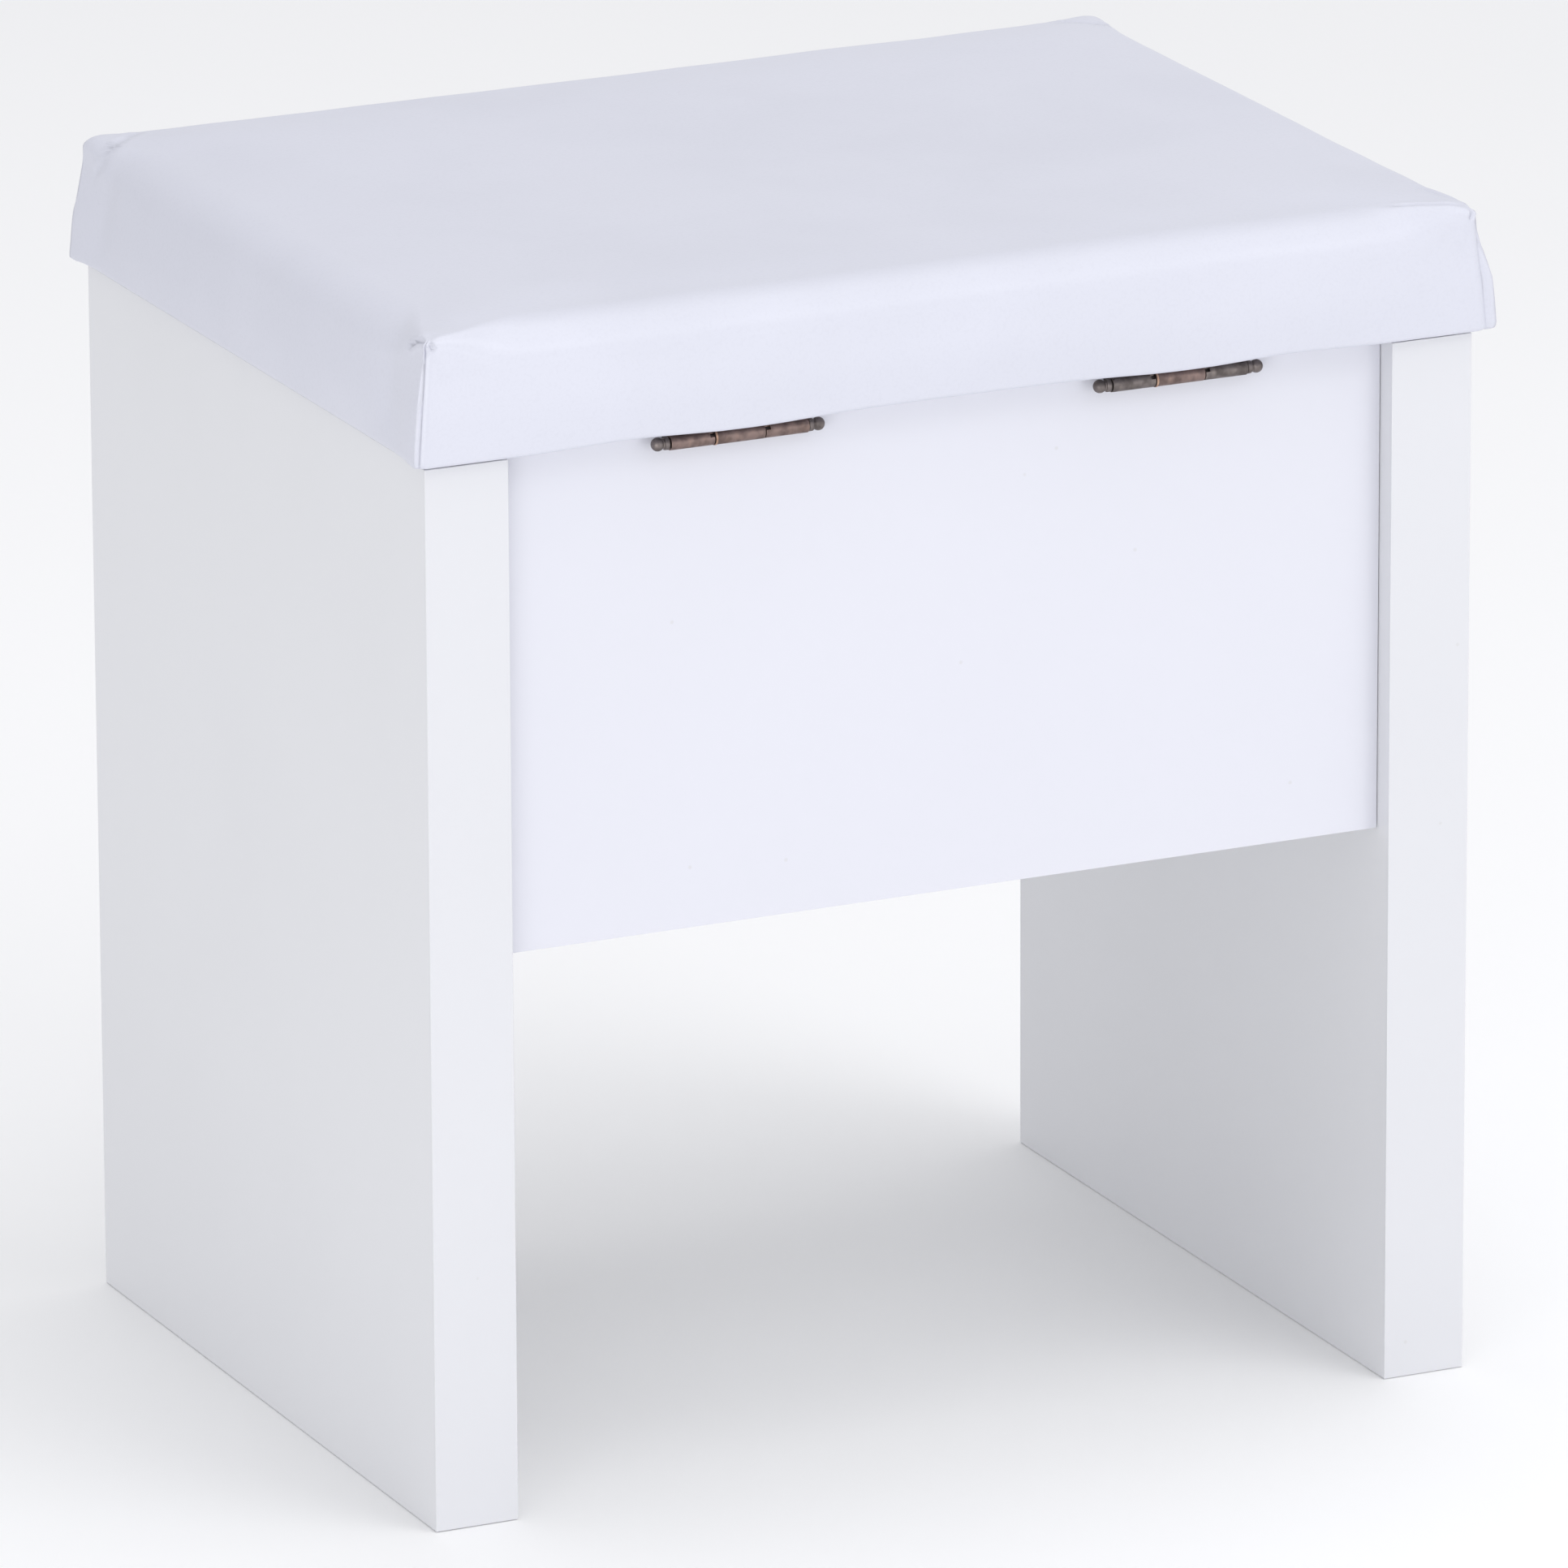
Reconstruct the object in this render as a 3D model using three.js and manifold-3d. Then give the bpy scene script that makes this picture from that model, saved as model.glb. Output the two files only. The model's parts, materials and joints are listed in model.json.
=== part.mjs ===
// Padded dressing-table stool with a storage box under a hinged, upholstered lid.
// Units are millimetres. +Z is up, the floor is z = 0, the origin is the centre of the footprint,
// -Y is the front and +Y is the rear, where the two hinges are.
import * as THREE from "three";
import { mergeVertices } from "three/addons/utils/BufferGeometryUtils.js";
import Module from "manifold-3d";

const wasm = await Module();
wasm.setup();

// ---------------------------------------------------------------- driving sizes

// Body
const BODY_WIDTH = 385; // over the two side panels
const BODY_DEPTH = 285;
const BODY_HEIGHT = 368; // side panels, floor to top edge
const SIDE_THICK = 30;
const APRON_THICK = 15;
const APRON_RECESS = 8.5; // outer face of an apron, set in from the side panels' edge
const APRON_BOTTOM_Z = 195.5;
const JOINT_GAP = 0.3; // between panels that butt together, and round what sits in a hole

// Storage box bottom, held in grooves
const BOTTOM_THICK = 3;
const GROOVE_DEPTH = 6;
const GROOVE_LIFT = 8; // groove's lower edge above the aprons' lower edge

// Lid
const LID_GAP = 2.2; // lid's underside above the side panels, filled by the bumpers
const LID_HEIGHT = 45; // upholstered lid, underside to top
const LID_OVERHANG_SIDE = 6.5;
const LID_OVERHANG_END = 6;
const COVER_THICK = 1;
const COVER_CORNER_RADIUS = 9; // upright corners
const COVER_TOP_RADIUS = 13; // padded top edge
const COVER_BOTTOM_RADIUS = 3; // where the cover turns under the board
const COVER_FLAP = 45; // width of the flap turned under the board
const LID_BOARD_THICK = 15;
const PADDING_GAP = 0.3; // between the cover and what it holds
const LINER_THICK = 2.5;
const LINER_CLEARANCE = 4; // liner to the side panels and the front apron
const LINER_CORNER_RADIUS = 6;

// Bumpers under the lid
const BUMPER_RADIUS = 5;
const BUMPER_INSET = 28; // from the side panels' front and rear edges
const BUMPER_SQUEEZE_GAP = 0.2; // between a bumper and the closed lid

// Hinges
const BARREL_RADIUS = 2.5;
const BARREL_BORE_RADIUS = 1.5;
const PIN_RADIUS = 1.2;
const AXIS_BEHIND_APRON = 4.7; // hinge axis behind the rear apron's outer face
const LEAF_THICK = 1;
const LEAF_LENGTH = 50;
const LEAF_REACH = 17; // from the axis to the leaf's far edge
const MIDDLE_KNUCKLE = 18;
const KNUCKLE_GAP = 0.4;
const HINGE_SPACING = 162; // between the two hinges' centres
const HINGE_SHIFT = -3; // of the pair, off the middle of the lid
const SEAT_GAP = 0.4; // beside a leaf, in the seat let into the rear apron for it
const APRON_LINER_GAP = 0.3; // between the rear apron and the closed lid's liner
const BALL_RADIUS = 2.3;
const NECK_RADIUS = 1.7;
const NECK_LENGTH = 0.5;
const COLLAR_RADIUS = 2.2;
const COLLAR_LENGTH = 1.8;
const LEAF_HOLE_SPACING = 34;
const LEAF_HOLE_FROM_EDGE = 5.5;

// Screws, countersunk for the hinges and pan head for the liner
const SCREW_RADIUS = 1.3;
const SCREW_HEAD_RADIUS = 2.6;
const SCREW_HEAD_DEPTH = 0.9;
const SCREW_LENGTH = 12;
const SCREW_FIT = 0.25; // all round a screw in its hole
const DRIVE_WIDTH = 0.5;
const DRIVE_DEPTH = 0.5;
const PAN_HEAD_RADIUS = 3.2;
const PAN_HEAD_HEIGHT = 1.6;
const LINER_SCREW_INSET = 14;
const LINER_SCREW_FROM_APRON = 7; // in front of the rear apron

// Knock-down fittings in each end of each apron
const CAM_RADIUS = 7.5;
const CAM_DEPTH = 12;
const CAM_FROM_END = 34;
const CAM_FROM_EDGE = 30; // above the aprons' lower edge and below the hinge leaves' seats
const CAM_POCKET_WIDTH = 6.4;
const CAM_POCKET_DEPTH = 9.8;
const BOLT_RADIUS = 2.5;
const BOLT_HEAD_RADIUS = 2.9;
const BOLT_HEAD_LENGTH = 3;
const BOLT_NECK_RADIUS = 1.8;
const BOLT_NECK_LENGTH = 4;
const BOLT_COLLAR_RADIUS = 3.5;
const BOLT_COLLAR_LENGTH = 3;
const BOLT_THREAD_LENGTH = 11;
const DOWEL_RADIUS = 4;
const DOWEL_LENGTH = 30;
const DOWEL_CHAMFER = 1;
const DOWEL_FROM_EDGE = 60;

const ROUND_SEGMENTS = 16;
const SMALL_SEGMENTS = 10;

// ---------------------------------------------------------------- derived places

const halfWidth = BODY_WIDTH / 2;
const halfDepth = BODY_DEPTH / 2;
const innerHalfWidth = halfWidth - SIDE_THICK;
const apronOuterY = halfDepth - APRON_RECESS;
const apronInnerY = apronOuterY - APRON_THICK;
const apronHalfLength = innerHalfWidth - JOINT_GAP;

const lidUnderZ = BODY_HEIGHT + LID_GAP;
const linerUnderZ = lidUnderZ - LINER_THICK;
const axisZ = linerUnderZ - BARREL_RADIUS;
const axisY = apronOuterY + AXIS_BEHIND_APRON;
const leafSeatZ = axisZ - BARREL_RADIUS;
const rearApronTopZ = linerUnderZ - APRON_LINER_GAP;
const frontApronTopZ = BODY_HEIGHT;

const lidHalfWidth = halfWidth + LID_OVERHANG_SIDE;
const lidHalfDepth = halfDepth + LID_OVERHANG_END;
const boardZ = lidUnderZ + COVER_THICK + PADDING_GAP;
const grooveZ = APRON_BOTTOM_Z + GROOVE_LIFT;
const grooveHeight = BOTTOM_THICK + 2 * JOINT_GAP;
const linerHalfWidth = innerHalfWidth - LINER_CLEARANCE;
const linerFrontY = -apronInnerY + LINER_CLEARANCE;
const linerRearY = apronOuterY;

const camHeights = [APRON_BOTTOM_Z + CAM_FROM_EDGE, leafSeatZ - CAM_FROM_EDGE];
const dowelHeights = [APRON_BOTTOM_Z + DOWEL_FROM_EDGE, leafSeatZ - DOWEL_FROM_EDGE];
const sides = [
  { word: "left", sign: 1 },
  { word: "right", sign: -1 },
];
const aprons = [
  { word: "rear", sign: 1, topZ: rearApronTopZ },
  { word: "front", sign: -1, topZ: frontApronTopZ },
];
const levels = ["lower", "upper"];
const hinges = [
  { word: "left", x: HINGE_SHIFT + HINGE_SPACING / 2 },
  { word: "right", x: HINGE_SHIFT - HINGE_SPACING / 2 },
];
// A body leaf lies in a seat in the rear apron and a lid leaf lies under the liner. `up` is the
// way that its screws point.
const leaves = {
  body: { outerZ: leafSeatZ, up: -1 },
  lid: { outerZ: linerUnderZ, up: 1 },
};

// ---------------------------------------------------------------- materials

function finish(color, roughness, metalness) {
  return new THREE.MeshStandardMaterial({ color, roughness, metalness });
}
const whiteBoard = finish(0xf0f1f5, 0.35, 0);
const whiteHardboard = finish(0xe9e9ea, 0.55, 0);
const whiteLeather = finish(0xeeeef6, 0.45, 0);
const rawBoard = finish(0xb89a72, 0.8, 0);
const foam = finish(0xf2e6b8, 0.95, 0);
const beech = finish(0xd3b07c, 0.7, 0);
const bronze = finish(0x7c6250, 0.45, 0.9);
const zinc = finish(0xa9abad, 0.4, 0.9);
const clearRubber = finish(0xdadcdc, 0.5, 0);

// ---------------------------------------------------------------- shape helpers

// A closed geometry as a manifold-3d solid.
function solid(geometry) {
  const plain = geometry.index ? geometry.toNonIndexed() : geometry.clone();
  plain.deleteAttribute("normal");
  plain.deleteAttribute("uv");
  const merged = mergeVertices(plain, 1e-4);
  const corners = merged.index.array;
  const triVerts = [];
  for (let k = 0; k < corners.length; k += 3) {
    const [a, b, c] = corners.slice(k, k + 3);
    // A face that meets an axis of revolution can shrink to a line, which is left out.
    if (a !== b && b !== c && c !== a) triVerts.push(a, b, c);
  }
  return new wasm.Manifold(
    new wasm.Mesh({
      numProp: 3,
      vertProperties: new Float32Array(merged.attributes.position.array),
      triVerts: new Uint32Array(triVerts),
    }),
  );
}

// A manifold-3d solid as a geometry.
function geometryOf(manifold) {
  const mesh = manifold.getMesh();
  const geometry = new THREE.BufferGeometry();
  geometry.setAttribute("position", new THREE.BufferAttribute(mesh.vertProperties, 3));
  geometry.setIndex(new THREE.BufferAttribute(mesh.triVerts, 1));
  geometry.computeVertexNormals();
  return geometry;
}

function joined(solids) {
  return solids.reduce((whole, next) => whole.add(next));
}

function without(whole, cutters) {
  return cutters.reduce((rest, cutter) => rest.subtract(cutter), whole);
}

// A box from its lowest to its highest corner.
function block(low, high) {
  const size = high.map((value, k) => value - low[k]);
  const middle = high.map((value, k) => (value + low[k]) / 2);
  return solid(new THREE.BoxGeometry(...size).translate(...middle));
}

// A solid of revolution round an axis through `start`. The profile is a list of [distance along, radius].
function turned(profile, start, direction, segments) {
  const points = profile.map(([along, radius]) => new THREE.Vector2(radius, along));
  const geometry = new THREE.LatheGeometry(points, segments);
  const turn = new THREE.Quaternion().setFromUnitVectors(
    new THREE.Vector3(0, 1, 0),
    new THREE.Vector3(...direction),
  );
  return solid(geometry.applyQuaternion(turn).translate(...start));
}

// A plain cylinder from `start` along `direction`.
function rod(radius, length, start, direction, segments = ROUND_SEGMENTS) {
  const profile = [[0, 0], [0, radius], [length, radius], [length, 0]];
  return turned(profile, start, direction, segments);
}

// A closed loft through rounded rectangles. Each level is { z, halfX, halfY, radius }.
function loft(stack, centreY = 0, arcSteps = 5) {
  const rings = stack.map(({ z, halfX, halfY, radius }) => {
    const ring = [];
    for (let corner = 0; corner < 4; corner++) {
      const signX = corner === 0 || corner === 3 ? 1 : -1;
      const signY = corner < 2 ? 1 : -1;
      for (let step = 0; step <= arcSteps; step++) {
        const angle = ((corner + step / arcSteps) * Math.PI) / 2;
        const x = signX * (halfX - radius) + radius * Math.cos(angle);
        const y = signY * (halfY - radius) + radius * Math.sin(angle);
        ring.push([x, y + centreY, z]);
      }
    }
    return ring;
  });
  const around = rings[0].length;
  const positions = [];
  const face = (...corners) => corners.forEach((corner) => positions.push(...corner));
  for (let level = 0; level + 1 < rings.length; level++) {
    const [low, high] = [rings[level], rings[level + 1]];
    for (let i = 0; i < around; i++) {
      const j = (i + 1) % around;
      face(low[i], low[j], high[j]);
      face(low[i], high[j], high[i]);
    }
  }
  const bottom = rings[0];
  const top = rings[rings.length - 1];
  for (let i = 1; i + 1 < around; i++) {
    face(bottom[0], bottom[i + 1], bottom[i]);
    face(top[0], top[i], top[i + 1]);
  }
  const geometry = new THREE.BufferGeometry();
  geometry.setAttribute("position", new THREE.Float32BufferAttribute(positions, 3));
  return solid(geometry);
}

// The levels of an upholstered block: rounded below by `bottomRadius` and above by `topRadius`.
function paddedLevels({ lowZ, highZ, halfX, halfY, corner, bottomRadius, topRadius, steps = 4 }) {
  const stack = [];
  const add = (z, inset) => {
    stack.push({ z, halfX: halfX - inset, halfY: halfY - inset, radius: corner });
  };
  for (let i = 0; i <= steps; i++) {
    const angle = (i / steps) * (Math.PI / 2);
    add(lowZ + bottomRadius * (1 - Math.cos(angle)), bottomRadius * (1 - Math.sin(angle)));
  }
  for (let i = 0; i <= steps; i++) {
    const angle = (i / steps) * (Math.PI / 2);
    add(highZ - topRadius * (1 - Math.sin(angle)), topRadius * (1 - Math.cos(angle)));
  }
  return stack;
}

const stool = new THREE.Group();
stool.name = "padded_storage_stool";

function place(name, manifold, material) {
  const mesh = new THREE.Mesh(geometryOf(manifold), material);
  mesh.name = name;
  stool.add(mesh);
}

// ---------------------------------------------------------------- knock-down fittings

// Centre line of the fittings in one apron: the middle of its thickness.
function apronMiddleY(apron) {
  return apron.sign * (apronInnerY + APRON_THICK / 2);
}

// The connecting bolt of one cam: its thread is in the side panel, its head is inside the cam.
function camBolt(side, apron, z) {
  const start = [side.sign * (innerHalfWidth + BOLT_THREAD_LENGTH), apronMiddleY(apron), z];
  const collarStart = BOLT_THREAD_LENGTH + JOINT_GAP;
  const collarEnd = collarStart + BOLT_COLLAR_LENGTH;
  const headEnd = BOLT_THREAD_LENGTH + CAM_FROM_END;
  const headStart = headEnd - BOLT_HEAD_LENGTH;
  const neckStart = headStart - BOLT_NECK_LENGTH;
  const profile = [
    [0, 0],
    [0, BOLT_RADIUS - 0.6],
    [1, BOLT_RADIUS],
    [collarStart, BOLT_RADIUS],
    [collarStart, BOLT_COLLAR_RADIUS],
    [collarEnd, BOLT_COLLAR_RADIUS],
    [collarEnd, BOLT_RADIUS],
    [neckStart, BOLT_RADIUS],
    [neckStart + 0.7, BOLT_NECK_RADIUS],
    [headStart, BOLT_NECK_RADIUS],
    [headStart, BOLT_HEAD_RADIUS],
    [headEnd - 0.6, BOLT_HEAD_RADIUS],
    [headEnd, BOLT_HEAD_RADIUS - 0.6],
    [headEnd, 0],
  ];
  return turned(profile, start, [-side.sign, 0, 0], SMALL_SEGMENTS);
}

// The holes for one bolt: a tight one in the side panel and a through hole from the apron's end.
function boltHoleInSide(side, apron, z) {
  const start = [side.sign * (innerHalfWidth - 1), apronMiddleY(apron), z];
  const depth = BOLT_THREAD_LENGTH + 1 + 2 * JOINT_GAP;
  return rod(BOLT_RADIUS + JOINT_GAP, depth, start, [side.sign, 0, 0], SMALL_SEGMENTS);
}

function boltHoleInApron(side, apron, z) {
  const start = [side.sign * (innerHalfWidth + 1), apronMiddleY(apron), z];
  const radius = BOLT_COLLAR_RADIUS + JOINT_GAP;
  return rod(radius, CAM_FROM_END + 1, start, [-side.sign, 0, 0], SMALL_SEGMENTS);
}

// The round housing bored into the apron's inner face.
function camHole(side, apron, z) {
  const start = [side.sign * (innerHalfWidth - CAM_FROM_END), apron.sign * (apronInnerY - 1), z];
  const depth = CAM_DEPTH + 1 + JOINT_GAP;
  return rod(CAM_RADIUS + JOINT_GAP, depth, start, [0, apron.sign, 0]);
}

// The cam: a drum with a pocket that grips the bolt's head and a cross slot in its face.
function camLock(side, apron, z) {
  const x = side.sign * (innerHalfWidth - CAM_FROM_END);
  const faceY = apron.sign * apronInnerY;
  const drum = rod(CAM_RADIUS, CAM_DEPTH, [x, faceY, z], [0, apron.sign, 0]);
  const middleY = apronMiddleY(apron);
  const half = CAM_POCKET_WIDTH / 2;
  const wayIn = block(
    [Math.min(x - half, x + side.sign * CAM_RADIUS * 1.2), middleY - half, z - half],
    [Math.max(x + half, x + side.sign * CAM_RADIUS * 1.2), middleY + half, z + half],
  );
  const headRoom = rod(
    CAM_POCKET_DEPTH / 2,
    CAM_POCKET_WIDTH,
    [x, middleY - apron.sign * half, z],
    [0, apron.sign, 0],
  );
  const slotEnd = faceY + apron.sign * 2;
  const slots = [[4.5, 0.7], [0.7, 4.5]].map(([halfX, halfZ]) =>
    block(
      [x - halfX, Math.min(faceY - apron.sign, slotEnd), z - halfZ],
      [x + halfX, Math.max(faceY - apron.sign, slotEnd), z + halfZ],
    ),
  );
  return without(drum, [wayIn, headRoom, ...slots]);
}

function dowelStart(side, apron, z, extra) {
  return [side.sign * (innerHalfWidth + DOWEL_LENGTH / 2 + extra), apronMiddleY(apron), z];
}

function dowel(side, apron, z) {
  const inner = DOWEL_RADIUS - DOWEL_CHAMFER;
  const profile = [
    [0, 0],
    [0, inner],
    [DOWEL_CHAMFER, DOWEL_RADIUS],
    [DOWEL_LENGTH - DOWEL_CHAMFER, DOWEL_RADIUS],
    [DOWEL_LENGTH, inner],
    [DOWEL_LENGTH, 0],
  ];
  return turned(profile, dowelStart(side, apron, z, 0), [-side.sign, 0, 0], SMALL_SEGMENTS);
}

// One hole serves both panels, because it spans the joint between them.
function dowelHole(side, apron, z) {
  const start = dowelStart(side, apron, z, JOINT_GAP);
  const length = DOWEL_LENGTH + 2 * JOINT_GAP;
  return rod(DOWEL_RADIUS + JOINT_GAP, length, start, [-side.sign, 0, 0], SMALL_SEGMENTS);
}

// ---------------------------------------------------------------- body

function bottomPanelAndGroove() {
  const reachX = innerHalfWidth + GROOVE_DEPTH;
  const reachY = apronInnerY + GROOVE_DEPTH;
  const z = grooveZ + JOINT_GAP;
  const panel = block(
    [-reachX + JOINT_GAP, -reachY + JOINT_GAP, z],
    [reachX - JOINT_GAP, reachY - JOINT_GAP, z + BOTTOM_THICK],
  );
  const groove = block(
    [-reachX, -reachY, grooveZ],
    [reachX, reachY, grooveZ + grooveHeight],
  );
  return { panel, groove };
}

const { panel: bottomPanel, groove: bottomGroove } = bottomPanelAndGroove();

// The seat for one hinge, open at the rear apron's top edge and both its faces.
function leafSeat(hinge) {
  const half = LEAF_LENGTH / 2 + SEAT_GAP;
  return block(
    [hinge.x - half, apronInnerY - 1, leafSeatZ],
    [hinge.x + half, apronOuterY + 1, rearApronTopZ + 1],
  );
}

for (const side of sides) {
  const [near, far] = [side.sign * innerHalfWidth, side.sign * halfWidth];
  const panel = block(
    [Math.min(near, far), -halfDepth, 0],
    [Math.max(near, far), halfDepth, BODY_HEIGHT],
  );
  const holes = aprons.flatMap((apron) => [
    ...camHeights.map((z) => boltHoleInSide(side, apron, z)),
    ...dowelHeights.map((z) => dowelHole(side, apron, z)),
  ]);
  place(`side_panel_${side.word}`, without(panel, [bottomGroove, ...holes]), whiteBoard);
}

for (const apron of aprons) {
  const [near, far] = [apron.sign * apronInnerY, apron.sign * apronOuterY];
  const panel = block(
    [-apronHalfLength, Math.min(near, far), APRON_BOTTOM_Z],
    [apronHalfLength, Math.max(near, far), apron.topZ],
  );
  const holes = sides.flatMap((side) => [
    ...camHeights.flatMap((z) => [boltHoleInApron(side, apron, z), camHole(side, apron, z)]),
    ...dowelHeights.map((z) => dowelHole(side, apron, z)),
  ]);
  const isRear = apron.word === "rear";
  const screwHoles = isRear ? hingeScrews("body").map(({ hole }) => hole) : [];
  const seats = isRear ? hinges.map(leafSeat) : [];
  place(
    `${apron.word}_panel`,
    without(panel, [bottomGroove, ...holes, ...screwHoles, ...seats]),
    whiteBoard,
  );
}

place("bottom_panel", bottomPanel, whiteHardboard);

for (const apron of aprons) {
  for (const side of sides) {
    levels.forEach((level, k) => {
      const where = `${apron.word}_${side.word}_${level}`;
      place(`cam_lock_${where}`, camLock(side, apron, camHeights[k]), zinc);
      place(`cam_bolt_${where}`, camBolt(side, apron, camHeights[k]), zinc);
      place(`dowel_${where}`, dowel(side, apron, dowelHeights[k]), beech);
    });
  }
}

for (const side of sides) {
  for (const apron of aprons) {
    const x = side.sign * (halfWidth - SIDE_THICK / 2);
    const y = apron.sign * (halfDepth - BUMPER_INSET);
    const height = LID_GAP - BUMPER_SQUEEZE_GAP;
    const profile = [
      [0, 0],
      [0, BUMPER_RADIUS],
      [height * 0.5, BUMPER_RADIUS],
      [height * 0.85, BUMPER_RADIUS * 0.86],
      [height, BUMPER_RADIUS * 0.6],
      [height, 0],
    ];
    const bumper = turned(profile, [x, y, BODY_HEIGHT], [0, 0, 1], ROUND_SEGMENTS);
    place(`lid_bumper_${apron.word}_${side.word}`, bumper, clearRubber);
  }
}

// ---------------------------------------------------------------- lid

const boardHalfX = lidHalfWidth - COVER_THICK - PADDING_GAP;
const boardHalfY = lidHalfDepth - COVER_THICK - PADDING_GAP;
const innerCorner = COVER_CORNER_RADIUS - COVER_THICK - PADDING_GAP;

// The cover: its outer form, less the room for the board and the padding, less the opening below.
function lidCover() {
  const outer = loft(
    paddedLevels({
      lowZ: lidUnderZ,
      highZ: lidUnderZ + LID_HEIGHT,
      halfX: lidHalfWidth,
      halfY: lidHalfDepth,
      corner: COVER_CORNER_RADIUS,
      bottomRadius: COVER_BOTTOM_RADIUS,
      topRadius: COVER_TOP_RADIUS,
    }),
  );
  const room = loft(
    paddedLevels({
      lowZ: lidUnderZ + COVER_THICK,
      highZ: lidUnderZ + LID_HEIGHT - COVER_THICK,
      halfX: lidHalfWidth - COVER_THICK,
      halfY: lidHalfDepth - COVER_THICK,
      corner: COVER_CORNER_RADIUS - COVER_THICK,
      bottomRadius: COVER_BOTTOM_RADIUS - COVER_THICK,
      topRadius: COVER_TOP_RADIUS - COVER_THICK,
    }),
  );
  const openX = lidHalfWidth - COVER_FLAP;
  const openY = lidHalfDepth - COVER_FLAP;
  const opening = block([-openX, -openY, lidUnderZ - 1], [openX, openY, boardZ]);
  return without(outer, [room, opening]);
}

// The padding: square below where it meets the board, rounded along its top edge.
function seatFoam() {
  const lowZ = boardZ + LID_BOARD_THICK + PADDING_GAP;
  const inset = COVER_THICK + PADDING_GAP;
  return loft(
    paddedLevels({
      lowZ,
      highZ: lidUnderZ + LID_HEIGHT - inset,
      halfX: boardHalfX,
      halfY: boardHalfY,
      corner: innerCorner,
      bottomRadius: 1,
      topRadius: COVER_TOP_RADIUS - inset,
    }),
  );
}

function lidBoard() {
  const edge = COVER_BOTTOM_RADIUS - COVER_THICK - PADDING_GAP;
  const levelsOfBoard = [
    { z: boardZ, inset: edge },
    { z: boardZ + edge, inset: 0 },
    { z: boardZ + LID_BOARD_THICK, inset: 0 },
  ].map(({ z, inset }) => ({
    z,
    halfX: boardHalfX - inset,
    halfY: boardHalfY - inset,
    radius: innerCorner,
  }));
  return loft(levelsOfBoard);
}

const linerHalfDepth = (linerRearY - linerFrontY) / 2;
const linerCentreY = (linerRearY + linerFrontY) / 2;

function lidLiner() {
  const ring = { halfX: linerHalfWidth, halfY: linerHalfDepth, radius: LINER_CORNER_RADIUS };
  return loft(
    [
      { z: linerUnderZ, ...ring },
      { z: lidUnderZ, ...ring },
    ],
    linerCentreY,
    3,
  );
}

// ---------------------------------------------------------------- hinges and screws

// Every screw of the leaves on one body, with its place, head face and pilot hole.
function hingeScrews(which) {
  const { outerZ, up } = leaves[which];
  const faceZ = outerZ - up * LEAF_THICK;
  const y = axisY - LEAF_REACH + LEAF_HOLE_FROM_EDGE;
  return hinges.flatMap((hinge) =>
    [1, -1].map((end) => {
      const x = hinge.x + (end * LEAF_HOLE_SPACING) / 2;
      const word = end > 0 ? "outer_left" : "outer_right";
      const start = [x, y, faceZ - up * 0.1];
      const hole = rod(
        SCREW_RADIUS + SCREW_FIT,
        SCREW_LENGTH + 1,
        start,
        [0, 0, up],
        SMALL_SEGMENTS,
      );
      return { name: `${hinge.word}_${word}`, x, y, faceZ, up, hole };
    }),
  );
}

// A countersunk screw driven along z, with a cross slot in its head.
function countersunkScrew({ x, y, faceZ, up }) {
  const profile = [
    [0, 0],
    [0, SCREW_HEAD_RADIUS],
    [SCREW_HEAD_DEPTH, SCREW_RADIUS],
    [SCREW_LENGTH - 2, SCREW_RADIUS],
    [SCREW_LENGTH, 0],
  ];
  const body = turned(profile, [x, y, faceZ], [0, 0, up], SMALL_SEGMENTS);
  return without(body, crossSlot(x, y, faceZ, up, SCREW_HEAD_RADIUS * 0.6));
}

function crossSlot(x, y, faceZ, up, reach) {
  const [nearZ, farZ] = [faceZ - up, faceZ + up * DRIVE_DEPTH];
  const half = DRIVE_WIDTH / 2;
  return [[reach, half], [half, reach]].map(([halfX, halfY]) =>
    block(
      [x - halfX, y - halfY, Math.min(nearZ, farZ)],
      [x + halfX, y + halfY, Math.max(nearZ, farZ)],
    ),
  );
}

// The countersink in a leaf, wider than the screw's head all round.
function countersink({ x, y, faceZ, up }) {
  const profile = [
    [-1, 0],
    [-1, SCREW_HEAD_RADIUS + SCREW_FIT],
    [0.1, SCREW_HEAD_RADIUS + SCREW_FIT],
    [SCREW_HEAD_DEPTH, SCREW_RADIUS + SCREW_FIT],
    [LEAF_THICK + 1, SCREW_RADIUS + SCREW_FIT],
    [LEAF_THICK + 1, 0],
  ];
  return turned(profile, [x, y, faceZ], [0, 0, up], SMALL_SEGMENTS);
}

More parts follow.
